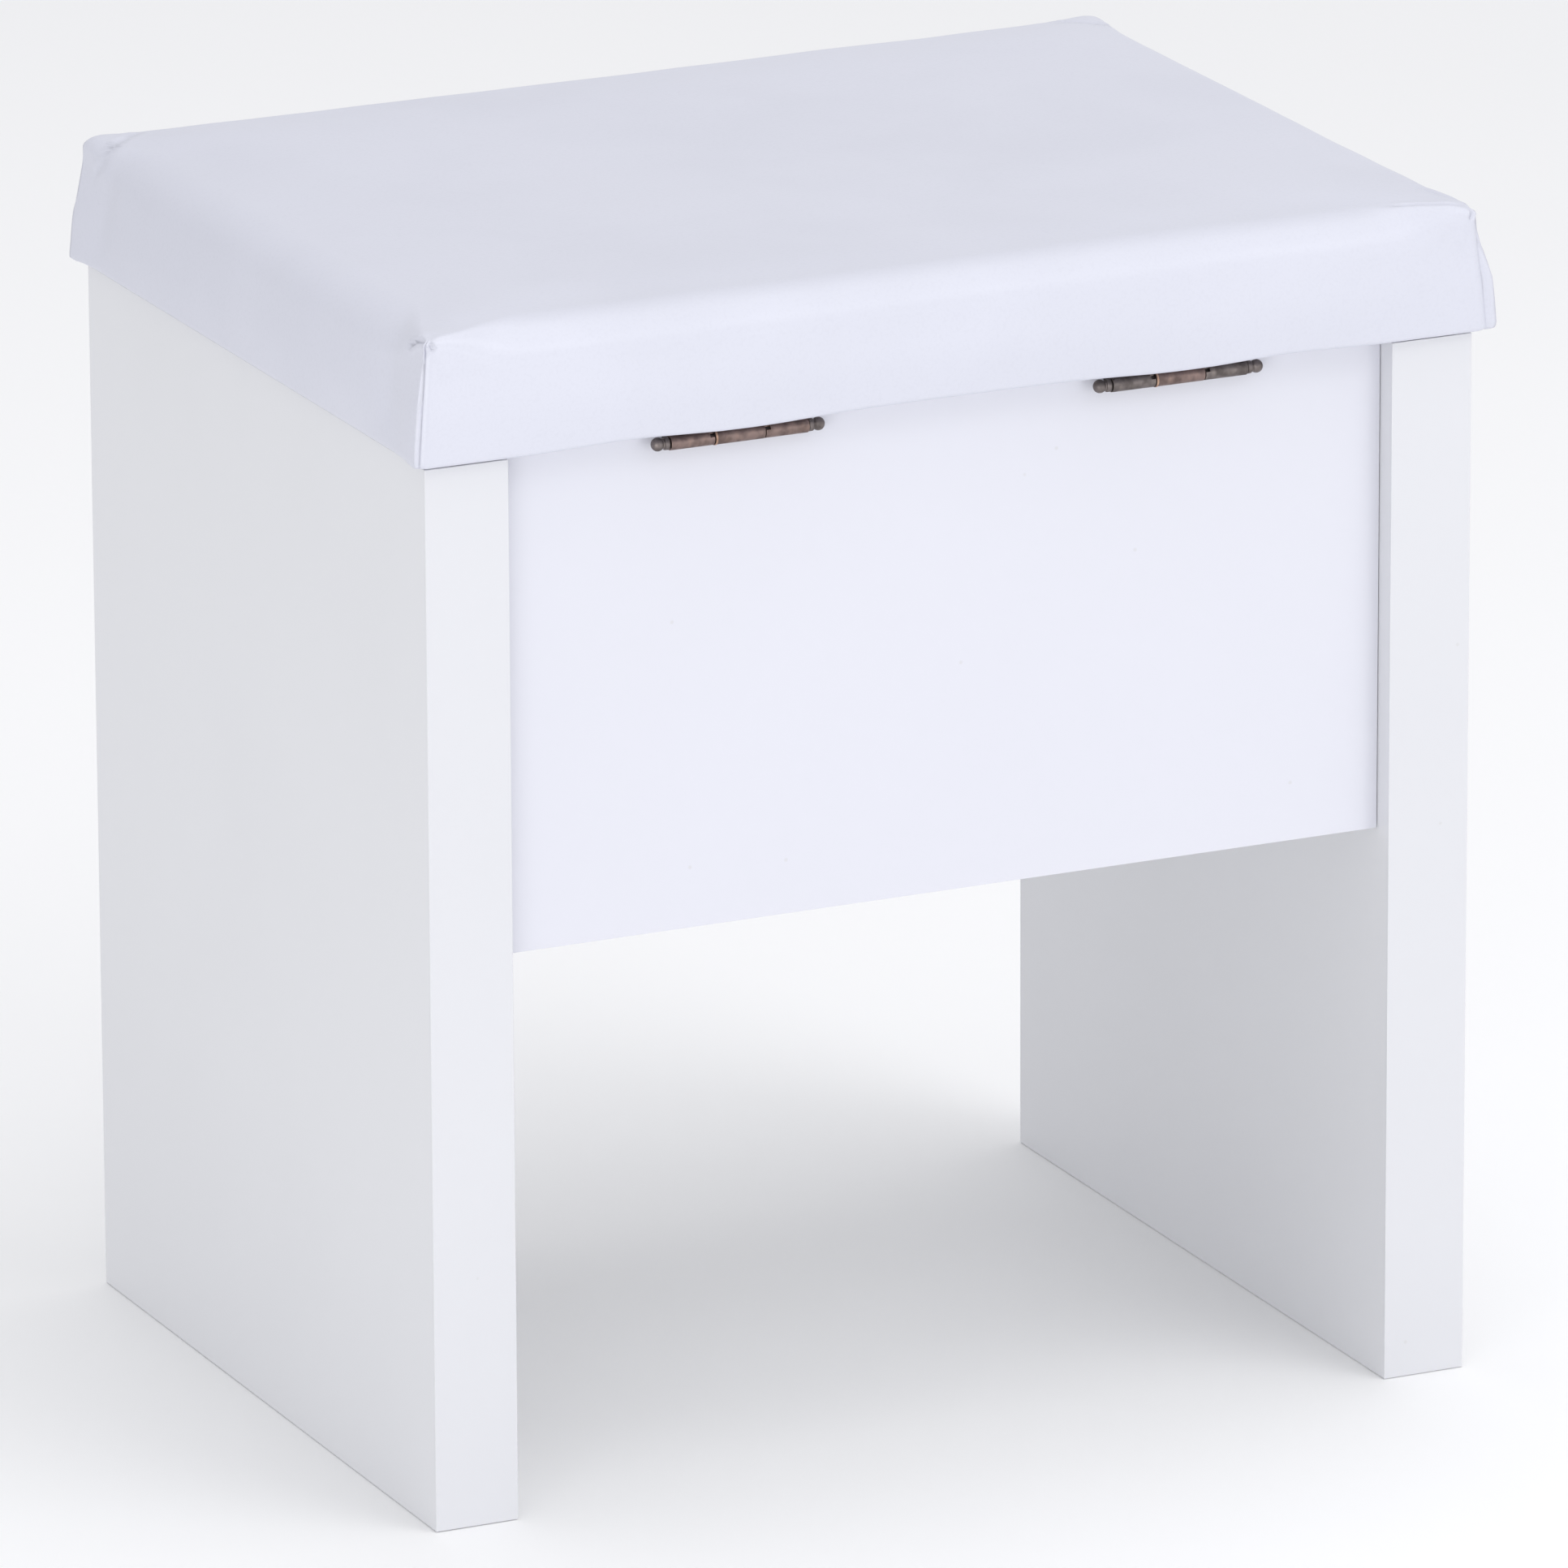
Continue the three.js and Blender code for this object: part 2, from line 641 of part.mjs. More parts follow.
// One leaf: a plate with its knuckles rolled at the rear edge. The body leaf has the two end
// knuckles and the lid leaf has the middle one.
function hingeLeaf(which, hinge) {
  const { outerZ, up } = leaves[which];
  const innerZ = outerZ - up * LEAF_THICK;
  const halfLength = LEAF_LENGTH / 2;
  const plate = block(
    [hinge.x - halfLength, axisY - LEAF_REACH, Math.min(outerZ, innerZ)],
    [hinge.x + halfLength, axisY, Math.max(outerZ, innerZ)],
  );
  const halfMiddle = MIDDLE_KNUCKLE / 2;
  const spans =
    which === "lid"
      ? [[-halfMiddle, halfMiddle]]
      : [
          [-halfLength, -halfMiddle - KNUCKLE_GAP],
          [halfMiddle + KNUCKLE_GAP, halfLength],
        ];
  const gaps =
    which === "lid"
      ? [
          [-halfLength - 1, -halfMiddle],
          [halfMiddle, halfLength + 1],
        ]
      : [[-halfMiddle - KNUCKLE_GAP, halfMiddle + KNUCKLE_GAP]];
  // Where the other leaf's knuckles turn, the plate stops short of them.
  const notches = gaps.map(([from, to]) =>
    block(
      [hinge.x + from, axisY - BARREL_RADIUS - KNUCKLE_GAP, outerZ - 2 * BARREL_RADIUS],
      [hinge.x + to, axisY + BARREL_RADIUS + 1, outerZ + 2 * BARREL_RADIUS],
    ),
  );
  const knuckles = spans.map(([from, to]) =>
    rod(BARREL_RADIUS, to - from, [hinge.x + from, axisY, axisZ], [1, 0, 0]),
  );
  const bore = rod(
    BARREL_BORE_RADIUS,
    LEAF_LENGTH + 2,
    [hinge.x - halfLength - 1, axisY, axisZ],
    [1, 0, 0],
    SMALL_SEGMENTS,
  );
  const sinks = hingeScrews(which)
    .filter(({ x }) => Math.abs(x - hinge.x) < halfLength)
    .map(countersink);
  return without(joined([without(plate, notches), ...knuckles]), [bore, ...sinks]);
}

// The pin, with a collar, a neck and a ball at each end.
function hingePin(hinge) {
  const ballSteps = 6;
  const collarStart = LEAF_LENGTH / 2 + JOINT_GAP;
  const neckStart = collarStart + COLLAR_LENGTH;
  const neckEnd = neckStart + NECK_LENGTH;
  const neckAngle = Math.asin(NECK_RADIUS / BALL_RADIUS);
  const ballCentre = neckEnd + BALL_RADIUS * Math.cos(neckAngle);
  const end = [
    [collarStart, PIN_RADIUS],
    [collarStart, COLLAR_RADIUS],
    [neckStart, COLLAR_RADIUS],
    [neckStart, NECK_RADIUS],
    [neckEnd, NECK_RADIUS],
  ];
  for (let step = 1; step <= ballSteps; step++) {
    const angle = neckAngle + ((Math.PI - neckAngle) * step) / ballSteps;
    const radius = step === ballSteps ? 0 : BALL_RADIUS * Math.sin(angle);
    end.push([ballCentre - BALL_RADIUS * Math.cos(angle), radius]);
  }
  const start = [...end].reverse().map(([along, radius]) => [-along, radius]);
  return turned([...start, ...end], [hinge.x, axisY, axisZ], [1, 0, 0], SMALL_SEGMENTS);
}

// Pan-head screws that hold the liner's corners.
function linerScrews() {
  const halfX = linerHalfWidth - LINER_SCREW_INSET;
  const rowY = {
    rear: apronInnerY - LINER_SCREW_FROM_APRON,
    front: linerFrontY + LINER_SCREW_INSET,
  };
  return aprons.flatMap((apron) =>
    sides.map((side) => ({
      name: `${apron.word}_${side.word}`,
      x: side.sign * halfX,
      y: rowY[apron.word],
      faceZ: linerUnderZ,
    })),
  );
}

function panHeadScrew({ x, y, faceZ }) {
  const profile = [
    [-PAN_HEAD_HEIGHT, 0],
    [-PAN_HEAD_HEIGHT, PAN_HEAD_RADIUS * 0.6],
    [-PAN_HEAD_HEIGHT * 0.5, PAN_HEAD_RADIUS * 0.92],
    [-JOINT_GAP, PAN_HEAD_RADIUS],
    [-JOINT_GAP, SCREW_RADIUS],
    [SCREW_LENGTH - 2, SCREW_RADIUS],
    [SCREW_LENGTH, 0],
  ];
  const body = turned(profile, [x, y, faceZ], [0, 0, 1], SMALL_SEGMENTS);
  return without(body, crossSlot(x, y, faceZ - PAN_HEAD_HEIGHT, 1, PAN_HEAD_RADIUS * 0.5));
}

function linerScrewHole({ x, y, faceZ }) {
  const start = [x, y, faceZ - 0.1];
  return rod(SCREW_RADIUS + SCREW_FIT, SCREW_LENGTH + 1, start, [0, 0, 1], SMALL_SEGMENTS);
}

const lidHoles = [
  ...hingeScrews("lid").map(({ hole }) => hole),
  ...linerScrews().map(linerScrewHole),
];

place("lid_board", without(lidBoard(), lidHoles), rawBoard);
place("seat_foam", seatFoam(), foam);
place("seat_cover", without(lidCover(), lidHoles), whiteLeather);
place("lid_liner", without(lidLiner(), lidHoles), whiteHardboard);
for (const screw of linerScrews()) {
  place(`liner_screw_${screw.name}`, panHeadScrew(screw), zinc);
}

for (const hinge of hinges) {
  place(`hinge_body_leaf_${hinge.word}`, hingeLeaf("body", hinge), bronze);
  place(`hinge_lid_leaf_${hinge.word}`, hingeLeaf("lid", hinge), bronze);
  place(`hinge_pin_${hinge.word}`, hingePin(hinge), bronze);
}
for (const which of ["body", "lid"]) {
  for (const screw of hingeScrews(which)) {
    place(`hinge_screw_${which}_${screw.name}`, countersunkScrew(screw), bronze);
  }
}

export default stool;
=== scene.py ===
"""Padded storage stool: its looks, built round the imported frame.

Lengths are metres, +Z is up, -Y is the stool's front and +Y its rear, where the lid is hinged.
"""

import json
import math

import bmesh
import bpy
import numpy as np
from mathutils import Matrix, Quaternion, Vector, noise


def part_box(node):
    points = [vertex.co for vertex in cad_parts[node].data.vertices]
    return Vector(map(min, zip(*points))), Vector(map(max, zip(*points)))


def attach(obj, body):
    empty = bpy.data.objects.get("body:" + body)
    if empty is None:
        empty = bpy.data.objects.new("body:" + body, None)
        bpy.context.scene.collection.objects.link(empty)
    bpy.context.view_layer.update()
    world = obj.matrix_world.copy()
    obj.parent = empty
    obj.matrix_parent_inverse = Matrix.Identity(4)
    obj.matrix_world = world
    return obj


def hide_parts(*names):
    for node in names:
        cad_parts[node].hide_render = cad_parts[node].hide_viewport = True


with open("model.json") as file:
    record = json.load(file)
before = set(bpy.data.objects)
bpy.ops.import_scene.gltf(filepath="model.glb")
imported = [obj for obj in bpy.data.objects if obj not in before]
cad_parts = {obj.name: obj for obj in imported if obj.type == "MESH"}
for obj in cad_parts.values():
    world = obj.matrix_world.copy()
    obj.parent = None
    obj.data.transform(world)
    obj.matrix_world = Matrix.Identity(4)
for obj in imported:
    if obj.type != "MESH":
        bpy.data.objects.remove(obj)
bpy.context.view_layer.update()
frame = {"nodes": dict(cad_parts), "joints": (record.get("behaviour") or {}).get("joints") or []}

MM = 0.001

# ---------------------------------------------------------------- places taken from the frame

nodes = frame["nodes"]
side_low, side_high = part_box("side_panel_left")
cover_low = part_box("seat_cover")[0]
board_low, board_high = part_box("lid_board")
liner_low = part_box("lid_liner")[0]
hinge_joint = next(joint for joint in frame["joints"] if joint["name"] == "lid_hinge")
AXIS_Y, AXIS_Z = hinge_joint["pos_m"][1:]

SIDE_INNER_X = side_low.x
BODY_HALF_DEPTH = side_high.y
LID_UNDER_Z = cover_low.z
BOARD_TOP_Z = board_high.z


# ---------------------------------------------------------------- camera, lights and floor


CAMERA_AZIMUTH = 154.95
CAMERA_ELEVATION = 17.11
CAMERA_ROLL = -0.24
CAMERA_AIM = Vector((-3.9, -1.8, 194.6)) * MM
CAMERA_DISTANCE = 5.282
LENS = 353.8
SENSOR_WIDTH = 36


def add_camera():
    """A long lens, well back from the stool, looking down at its rear left corner."""
    azimuth = math.radians(CAMERA_AZIMUTH)
    elevation = math.radians(CAMERA_ELEVATION)
    roll = math.radians(CAMERA_ROLL)
    back = Vector(
        (
            math.sin(azimuth) * math.cos(elevation),
            -math.cos(azimuth) * math.cos(elevation),
            math.sin(elevation),
        )
    )
    data = bpy.data.cameras.new("camera")
    data.sensor_width = SENSOR_WIDTH
    data.lens = LENS
    data.clip_end = 50
    camera = bpy.data.objects.new("camera", data)
    camera.rotation_mode = "QUATERNION"
    camera.rotation_quaternion = Quaternion(back, roll) @ (-back).to_track_quat("-Z", "Y")
    camera.location = CAMERA_AIM + back * CAMERA_DISTANCE
    bpy.context.scene.collection.objects.link(camera)
    bpy.context.scene.camera = camera


def add_softbox(name, place, aim, size, power, color):
    data = bpy.data.lights.new(name, "AREA")
    data.shape = "RECTANGLE"
    data.size, data.size_y = size
    data.energy = power
    data.color = color
    light = bpy.data.objects.new(name, data)
    light.location = place
    light.rotation_mode = "QUATERNION"
    light.rotation_quaternion = (Vector(aim) - Vector(place)).to_track_quat("-Z", "Y")
    bpy.context.scene.collection.objects.link(light)


def add_lights():
    """Two low softboxes, one of them reaching under the stool, one overhead, and one that
    draws a gloss along the cushion's rear top edge."""
    middle = (0, 0, 0.25)
    under = (-0.1, 0, 0.12)
    add_softbox("key_softbox", (-1.4, 3.0, 0.6), middle, (1.6, 0.9), 7.5, (0.99, 0.99, 1.0))
    add_softbox("low_softbox", (2.0, 2.5, 0.5), under, (1.8, 0.8), 20, (1.0, 1.0, 1.0))
    add_softbox("top_softbox", (-0.5, 0.2, 2.8), middle, (2.2, 2.2), 17.5, (0.99, 0.99, 1.0))
    add_softbox("edge_softbox", (-1.1, 1.7, 2.0), middle, (1.5, 0.7), 8.5, (0.99, 0.99, 1.0))


def light_world():
    world = bpy.data.worlds.new("studio")
    world.use_nodes = True
    background = world.node_tree.nodes["Background"]
    background.inputs["Color"].default_value = (0.97, 0.975, 1.0, 1)
    background.inputs["Strength"].default_value = 0.78
    scene = bpy.context.scene
    scene.world = world
    scene.view_settings.view_transform = "Standard"
    scene.view_settings.look = "None"


def add_floor():
    mesh = bpy.data.meshes.new("floor")
    half = 6.0
    corners = [(-half, -half, 0), (half, -half, 0), (half, half, 0), (-half, half, 0)]
    mesh.from_pydata(corners, [], [(0, 1, 2, 3)])
    floor = bpy.data.objects.new("floor", mesh)
    bpy.context.scene.collection.objects.link(floor)
    floor.location.z = -0.2 * MM
    mesh.materials.append(floor_paint())


# ---------------------------------------------------------------- node helpers


class Tree:
    """A short way to add and join nodes in one node tree."""

    def __init__(self, tree):
        self.tree = tree

    def add(self, kind, settings=None, **inputs):
        node = self.tree.nodes.new(kind)
        for key, value in (settings or {}).items():
            setattr(node, key, value)
        for key, value in inputs.items():
            self.put(node.inputs[key.replace("_", " ")], value)
        return node

    def put(self, socket, value):
        if isinstance(value, bpy.types.NodeSocket):
            self.tree.links.new(value, socket)
        else:
            socket.default_value = value

    def math(self, operation, first, second=0.0, clamp=False):
        node = self.tree.nodes.new("ShaderNodeMath")
        node.operation = operation
        node.use_clamp = clamp
        self.put(node.inputs[0], first)
        self.put(node.inputs[1], second)
        return node.outputs[0]

    def ramp(self, value, low, high, to_low=0.0, to_high=1.0):
        """Maps value from low..high onto to_low..to_high, smoothly and clamped."""
        node = self.add("ShaderNodeMapRange", {"interpolation_type": "SMOOTHSTEP"})
        for key, number in (
            ("Value", value),
            ("From Min", low),
            ("From Max", high),
            ("To Min", to_low),
            ("To Max", to_high),
        ):
            self.put(node.inputs[key], number)
        return node.outputs["Result"]

    def mix(self, factor, first, second):
        """Mixes two colours."""
        node = self.tree.nodes.new("ShaderNodeMix")
        node.data_type = "RGBA"
        self.put(node.inputs[0], factor)
        self.put(node.inputs[6], first)
        self.put(node.inputs[7], second)
        return node.outputs[2]

    def noise(self, where, scale, detail=2.0, roughness=0.5):
        node = self.add("ShaderNodeTexNoise", Scale=scale, Detail=detail, Roughness=roughness)
        self.put(node.inputs["Vector"], where)
        return node.outputs["Fac"]

    def bump(self, height, strength, distance):
        node = self.add("ShaderNodeBump", Strength=strength, Distance=distance)
        self.put(node.inputs["Height"], height)
        return node.outputs["Normal"]


def group(name, inputs, outputs):
    """An empty shader group with float or colour sockets, its Tree, and its two end nodes."""
    tree = bpy.data.node_groups.new(name, "ShaderNodeTree")
    for socket_name, default in inputs.items():
        kind = "NodeSocketColor" if isinstance(default, tuple) else "NodeSocketFloat"
        socket = tree.interface.new_socket(socket_name, in_out="INPUT", socket_type=kind)
        socket.default_value = default
    for socket_name, kind in outputs.items():
        tree.interface.new_socket(socket_name, in_out="OUTPUT", socket_type=kind)
    return tree, Tree(tree), tree.nodes.new("NodeGroupInput"), tree.nodes.new("NodeGroupOutput")


def place_group(paint, tree, **values):
    node = paint.tree.nodes.new("ShaderNodeGroup")
    node.node_tree = tree
    for key, value in values.items():
        paint.put(node.inputs[key.replace("_", " ")], value)
    return node.outputs


def material(name, **fixed):
    """A material with one Principled shader. Returns it, its Tree and the shader."""
    made = bpy.data.materials.new(name)
    made.use_nodes = True
    paint = Tree(made.node_tree)
    shader = made.node_tree.nodes["Principled BSDF"]
    for key, value in fixed.items():
        shader.inputs[key.replace("_", " ")].default_value = value
    return made, paint, shader


def object_coords(paint):
    return paint.add("ShaderNodeTexCoord").outputs["Object"]


# ---------------------------------------------------------------- shared shader groups

VALUE = "NodeSocketFloat"
COLOR = "NodeSocketColor"


def tone_group():
    """Broad, faint change of tone: a base colour drifting towards a second one."""
    tree, paint, start, end = group(
        "tone_drift",
        {
            "Base": (0.8, 0.8, 0.8, 1),
            "Drift": (0.7, 0.7, 0.7, 1),
            "Amount": 0.3,
            "Scale": 9.0,
        },
        {"Color": COLOR, "Cloud": VALUE},
    )
    where = object_coords(paint)
    cloud = paint.noise(where, start.outputs["Scale"], 3.0)
    cloud = paint.ramp(cloud, 0.35, 0.68)
    factor = paint.math("MULTIPLY", cloud, start.outputs["Amount"])
    mixed = paint.mix(factor, start.outputs["Base"], start.outputs["Drift"])
    paint.put(end.inputs["Color"], mixed)
    paint.put(end.inputs["Cloud"], cloud)
    return tree


def marks_group():
    """Sparse handling marks: soft smudges, and tiny specks of dust."""
    tree, paint, start, end = group(
        "handling_marks",
        {"Smudge Scale": 22.0, "Speck Scale": 260.0, "Speck Cover": 0.1},
        {"Smudges": VALUE, "Specks": VALUE},
    )
    where = object_coords(paint)
    warped = paint.add("ShaderNodeVectorMath", {"operation": "MULTIPLY_ADD"})
    paint.put(warped.inputs[0], where)
    warped.inputs[1].default_value = (1.0, 1.0, 0.55)
    warped.inputs[2].default_value = (0.37, 0.11, 0.23)
    smudge = paint.noise(warped.outputs[0], start.outputs["Smudge Scale"], 1.5, 0.4)
    paint.put(end.inputs["Smudges"], paint.ramp(smudge, 0.48, 0.95))
    cells = paint.add("ShaderNodeTexVoronoi", {"feature": "F1"})
    paint.put(cells.inputs["Vector"], where)
    paint.put(cells.inputs["Scale"], start.outputs["Speck Scale"])
    dot = paint.ramp(cells.outputs["Distance"], 0.05, 0.16, 1.0, 0.0)
    chosen = paint.add("ShaderNodeSeparateColor")
    paint.put(chosen.inputs[0], cells.outputs["Color"])
    few = paint.math("LESS_THAN", chosen.outputs[0], start.outputs["Speck Cover"])
    paint.put(end.inputs["Specks"], paint.math("MULTIPLY", dot, few))
    return tree


def edge_group():
    """A mask of the outer edges, broken up by noise, from a rounded normal: worn edges on the metal
    fittings, a painted highlight on the foil.
    """
    tree, paint, start, end = group(
        "edge_rub",
        {"Radius": 0.4 * MM, "Break Up": 0.5, "Scale": 300.0},
        {"Edge": VALUE},
    )
    rounded = paint.add("ShaderNodeBevel", {"samples": 6})
    paint.put(rounded.inputs["Radius"], start.outputs["Radius"])
    plain = paint.add("ShaderNodeNewGeometry").outputs["Normal"]
    dot = paint.add("ShaderNodeVectorMath", {"operation": "DOT_PRODUCT"})
    paint.put(dot.inputs[0], rounded.outputs["Normal"])
    paint.put(dot.inputs[1], plain)
    edge = paint.ramp(dot.outputs["Value"], 0.995, 0.86)
    rough = paint.noise(object_coords(paint), start.outputs["Scale"], 3.0)
    worn = paint.math("MULTIPLY", paint.ramp(rough, 0.35, 0.6), start.outputs["Break Up"])
    keep = paint.math("SUBTRACT", 1.0, worn)
    paint.put(end.inputs["Edge"], paint.math("MULTIPLY", edge, keep, clamp=True))
    return tree


def grain_group():
    """Fine pebbled grain with hairline pores, as a height."""
    tree, paint, start, end = group(
        "pebble_grain",
        {"Scale": 1000.0, "Softness": 0.5},
        {"Height": VALUE, "Pores": VALUE},
    )
    where = object_coords(paint)
    bend = paint.noise(where, 190.0, 2.0)
    moved = paint.add("ShaderNodeVectorMath", {"operation": "MULTIPLY_ADD"})
    paint.put(moved.inputs[0], bend)
    moved.inputs[1].default_value = (0.0016, 0.0016, 0.0016)
    paint.put(moved.inputs[2], where)
    pebble = paint.add("ShaderNodeTexVoronoi", {"feature": "SMOOTH_F1"})
    paint.put(pebble.inputs["Vector"], moved.outputs[0])
    paint.put(pebble.inputs["Scale"], start.outputs["Scale"])
    paint.put(pebble.inputs["Smoothness"], start.outputs["Softness"])
    fine = paint.noise(where, 2400.0, 2.0)
    raised = paint.math("SUBTRACT", 1.0, pebble.outputs["Distance"])
    height = paint.math("MULTIPLY_ADD", fine, 0.25)
    paint.put(height.node.inputs[2], raised)
    paint.put(end.inputs["Height"], height)
    paint.put(end.inputs["Pores"], paint.ramp(pebble.outputs["Distance"], 0.45, 0.8))
    return tree


tone_drift = tone_group()
handling_marks = marks_group()
edge_rub = edge_group()
pebble_grain = grain_group()


# ---------------------------------------------------------------- materials


def floor_paint():
    made, paint, shader = material("floor_paper", Roughness=0.7)
    tone = place_group(
        paint,
        tone_drift,
        Base=(0.98, 0.98, 0.98, 1),
        Drift=(0.96, 0.96, 0.96, 1),
        Amount=0.5,
        Scale=1.4,
    )
    paint.put(shader.inputs["Base Color"], tone["Color"])
    return made


def white_foil(name, base, drift, roughness, seams=()):
    """Board wrapped in white foil. Seams are (axis, distance) pairs: the thin glue lines that run
    at that distance either side of the middle, where an edge strip meets the face."""
    made, paint, shader = material(name, Coat_Weight=0.25, Coat_Roughness=0.12, IOR=1.48)
    tone = place_group(paint, tone_drift, Base=base, Drift=drift, Amount=0.55, Scale=6.0)
    marks = place_group(paint, handling_marks, Smudge_Scale=24.0, Speck_Scale=170.0, Speck_Cover=0.03)
    edge = place_group(paint, edge_rub, Radius=0.7 * MM, Break_Up=0.7, Scale=140.0)
    where = object_coords(paint)
    specks = paint.math("MULTIPLY", marks["Specks"], 0.3)
    color = paint.mix(specks, tone["Color"], (0.55, 0.54, 0.52, 1))
    # Painted highlight: the foil's rounded edges are lightened towards a paler white, standing in for
    # the light line along them.
    color = paint.mix(paint.math("MULTIPLY", edge["Edge"], 0.25), color, (0.80, 0.81, 0.83, 1))
    split = paint.add("ShaderNodeSeparateXYZ")
    paint.put(split.inputs[0], where)
    for axis, distance in seams:
        away = paint.math("ABSOLUTE", split.outputs[axis])
        off = paint.math("ABSOLUTE", paint.math("SUBTRACT", away, distance))
        line = paint.ramp(off, 0.03 * MM, 0.14 * MM, 0.45, 0.0)
        color = paint.mix(line, color, (0.62, 0.63, 0.64, 1))
    paint.put(shader.inputs["Base Color"], color)
    dull = paint.math("MULTIPLY_ADD", tone["Cloud"], 0.04)
    paint.put(dull.node.inputs[2], roughness)
    paint.put(shader.inputs["Roughness"], dull)
    peel = paint.noise(where, 420.0, 2.0)
    paint.put(shader.inputs["Normal"], paint.bump(peel, 0.06, 0.05 * MM))
    return made


def hardboard_paint():
    """Thin board with a white face, a little duller and less even than the foil."""
    made, paint, shader = material("painted_hardboard", IOR=1.45)
    tone = place_group(
        paint,
        tone_drift,
        Base=(0.78, 0.785, 0.80, 1),
        Drift=(0.72, 0.72, 0.72, 1),
        Amount=0.6,
        Scale=12.0,
    )
    marks = place_group(paint, handling_marks, Smudge_Scale=30.0, Speck_Scale=220.0, Speck_Cover=0.12)
    color = paint.mix(
        paint.math("MULTIPLY", marks["Specks"], 0.5), tone["Color"], (0.45, 0.42, 0.38, 1)
    )
    paint.put(shader.inputs["Base Color"], color)
    dull = paint.math("MULTIPLY_ADD", marks["Smudges"], 0.15)
    dull.node.inputs[2].default_value = 0.45
    paint.put(shader.inputs["Roughness"], dull)
    weave = paint.noise(object_coords(paint), 900.0, 3.0)
    paint.put(shader.inputs["Normal"], paint.bump(weave, 0.25, 0.08 * MM))
    return made


def leather_paint():
    """White coated leather: satin, finely pebbled, with a cool cast."""
    made, paint, shader = material("white_leather", IOR=1.56)
    tone = place_group(
        paint,
        tone_drift,
        Base=(0.655, 0.665, 0.745, 1),
        Drift=(0.63, 0.64, 0.715, 1),
        Amount=0.7,
        Scale=11.0,
    )
    marks = place_group(paint, handling_marks, Smudge_Scale=26.0, Speck_Scale=300.0, Speck_Cover=0.02)
    grain = place_group(paint, pebble_grain, Scale=1050.0, Softness=0.6)
    color = paint.mix(
        paint.math("MULTIPLY", grain["Pores"], 0.08), tone["Color"], (0.50, 0.50, 0.57, 1)
    )
    color = paint.mix(
        paint.math("MULTIPLY", marks["Smudges"], 0.05), color, (0.60, 0.60, 0.66, 1)
    )
    paint.put(shader.inputs["Base Color"], color)
    rough = paint.math("MULTIPLY_ADD", tone["Cloud"], 0.08)
    rough.node.inputs[2].default_value = 0.36
    paint.put(shader.inputs["Roughness"], rough)
    where = object_coords(paint)
    slack = paint.noise(where, 45.0, 2.0)
    soft = paint.bump(slack, 0.25, 0.5 * MM)
    pebbled = paint.add("ShaderNodeBump", Strength=0.25, Distance=0.06 * MM)
    paint.put(pebbled.inputs["Height"], grain["Height"])
    paint.put(pebbled.inputs["Normal"], soft)
    paint.put(shader.inputs["Normal"], pebbled.outputs["Normal"])
    return made


def bronze_paint(name, dark, brown, worn):
    """Antique copper plate: brown patina over dark metal, rubbed bright on its edges."""
    made, paint, shader = material(name, Metallic=1.0)
    where = object_coords(paint)
    patina = place_group(paint, tone_drift, Base=brown, Drift=dark, Amount=0.85, Scale=240.0)
    edge = place_group(paint, edge_rub, Radius=0.28 * MM, Break_Up=0.75, Scale=900.0)
    marks = place_group(
        paint, handling_marks, Smudge_Scale=500.0, Speck_Scale=2600.0, Speck_Cover=0.2
    )
    color = paint.mix(paint.math("MULTIPLY", edge["Edge"], 0.9), patina["Color"], worn)
    color = paint.mix(paint.math("MULTIPLY", marks["Smudges"], 0.35), color, worn)
    color = paint.mix(paint.math("MULTIPLY", marks["Specks"], 0.5), color, (0.03, 0.025, 0.02, 1))
    paint.put(shader.inputs["Base Color"], color)
    rough = paint.math("MULTIPLY_ADD", patina["Cloud"], 0.16)
    rough.node.inputs[2].default_value = 0.46
    polished = paint.math("MULTIPLY", edge["Edge"], 0.18)
    paint.put(shader.inputs["Roughness"], paint.math("SUBTRACT", rough, polished))
    stretch = paint.add("ShaderNodeVectorMath", {"operation": "MULTIPLY"})
    paint.put(stretch.inputs[0], where)
    stretch.inputs[1].default_value = (1.0, 6.0, 6.0)
    scratch = paint.noise(stretch.outputs[0], 600.0, 3.0)
    paint.put(shader.inputs["Normal"], paint.bump(scratch, 0.3, 0.03 * MM))
    return made


def zinc_paint():
    """Cast and plated zinc with a grey bloom and rubbed edges."""
    made, paint, shader = material("plated_zinc", Metallic=1.0)
    tone = place_group(
        paint,
        tone_drift,
        Base=(0.56, 0.57, 0.58, 1),
        Drift=(0.38, 0.39, 0.40, 1),
        Amount=0.7,
        Scale=260.0,
    )
    edge = place_group(paint, edge_rub, Radius=0.3 * MM, Break_Up=0.6, Scale=700.0)
    paint.put(
        shader.inputs["Base Color"],
        paint.mix(edge["Edge"], tone["Color"], (0.75, 0.76, 0.77, 1)),
    )
    rough = paint.math("MULTIPLY_ADD", tone["Cloud"], 0.2)
    rough.node.inputs[2].default_value = 0.35
    paint.put(shader.inputs["Roughness"], rough)
    cast = paint.noise(object_coords(paint), 1800.0, 2.0)
    paint.put(shader.inputs["Normal"], paint.bump(cast, 0.3, 0.04 * MM))
    return made


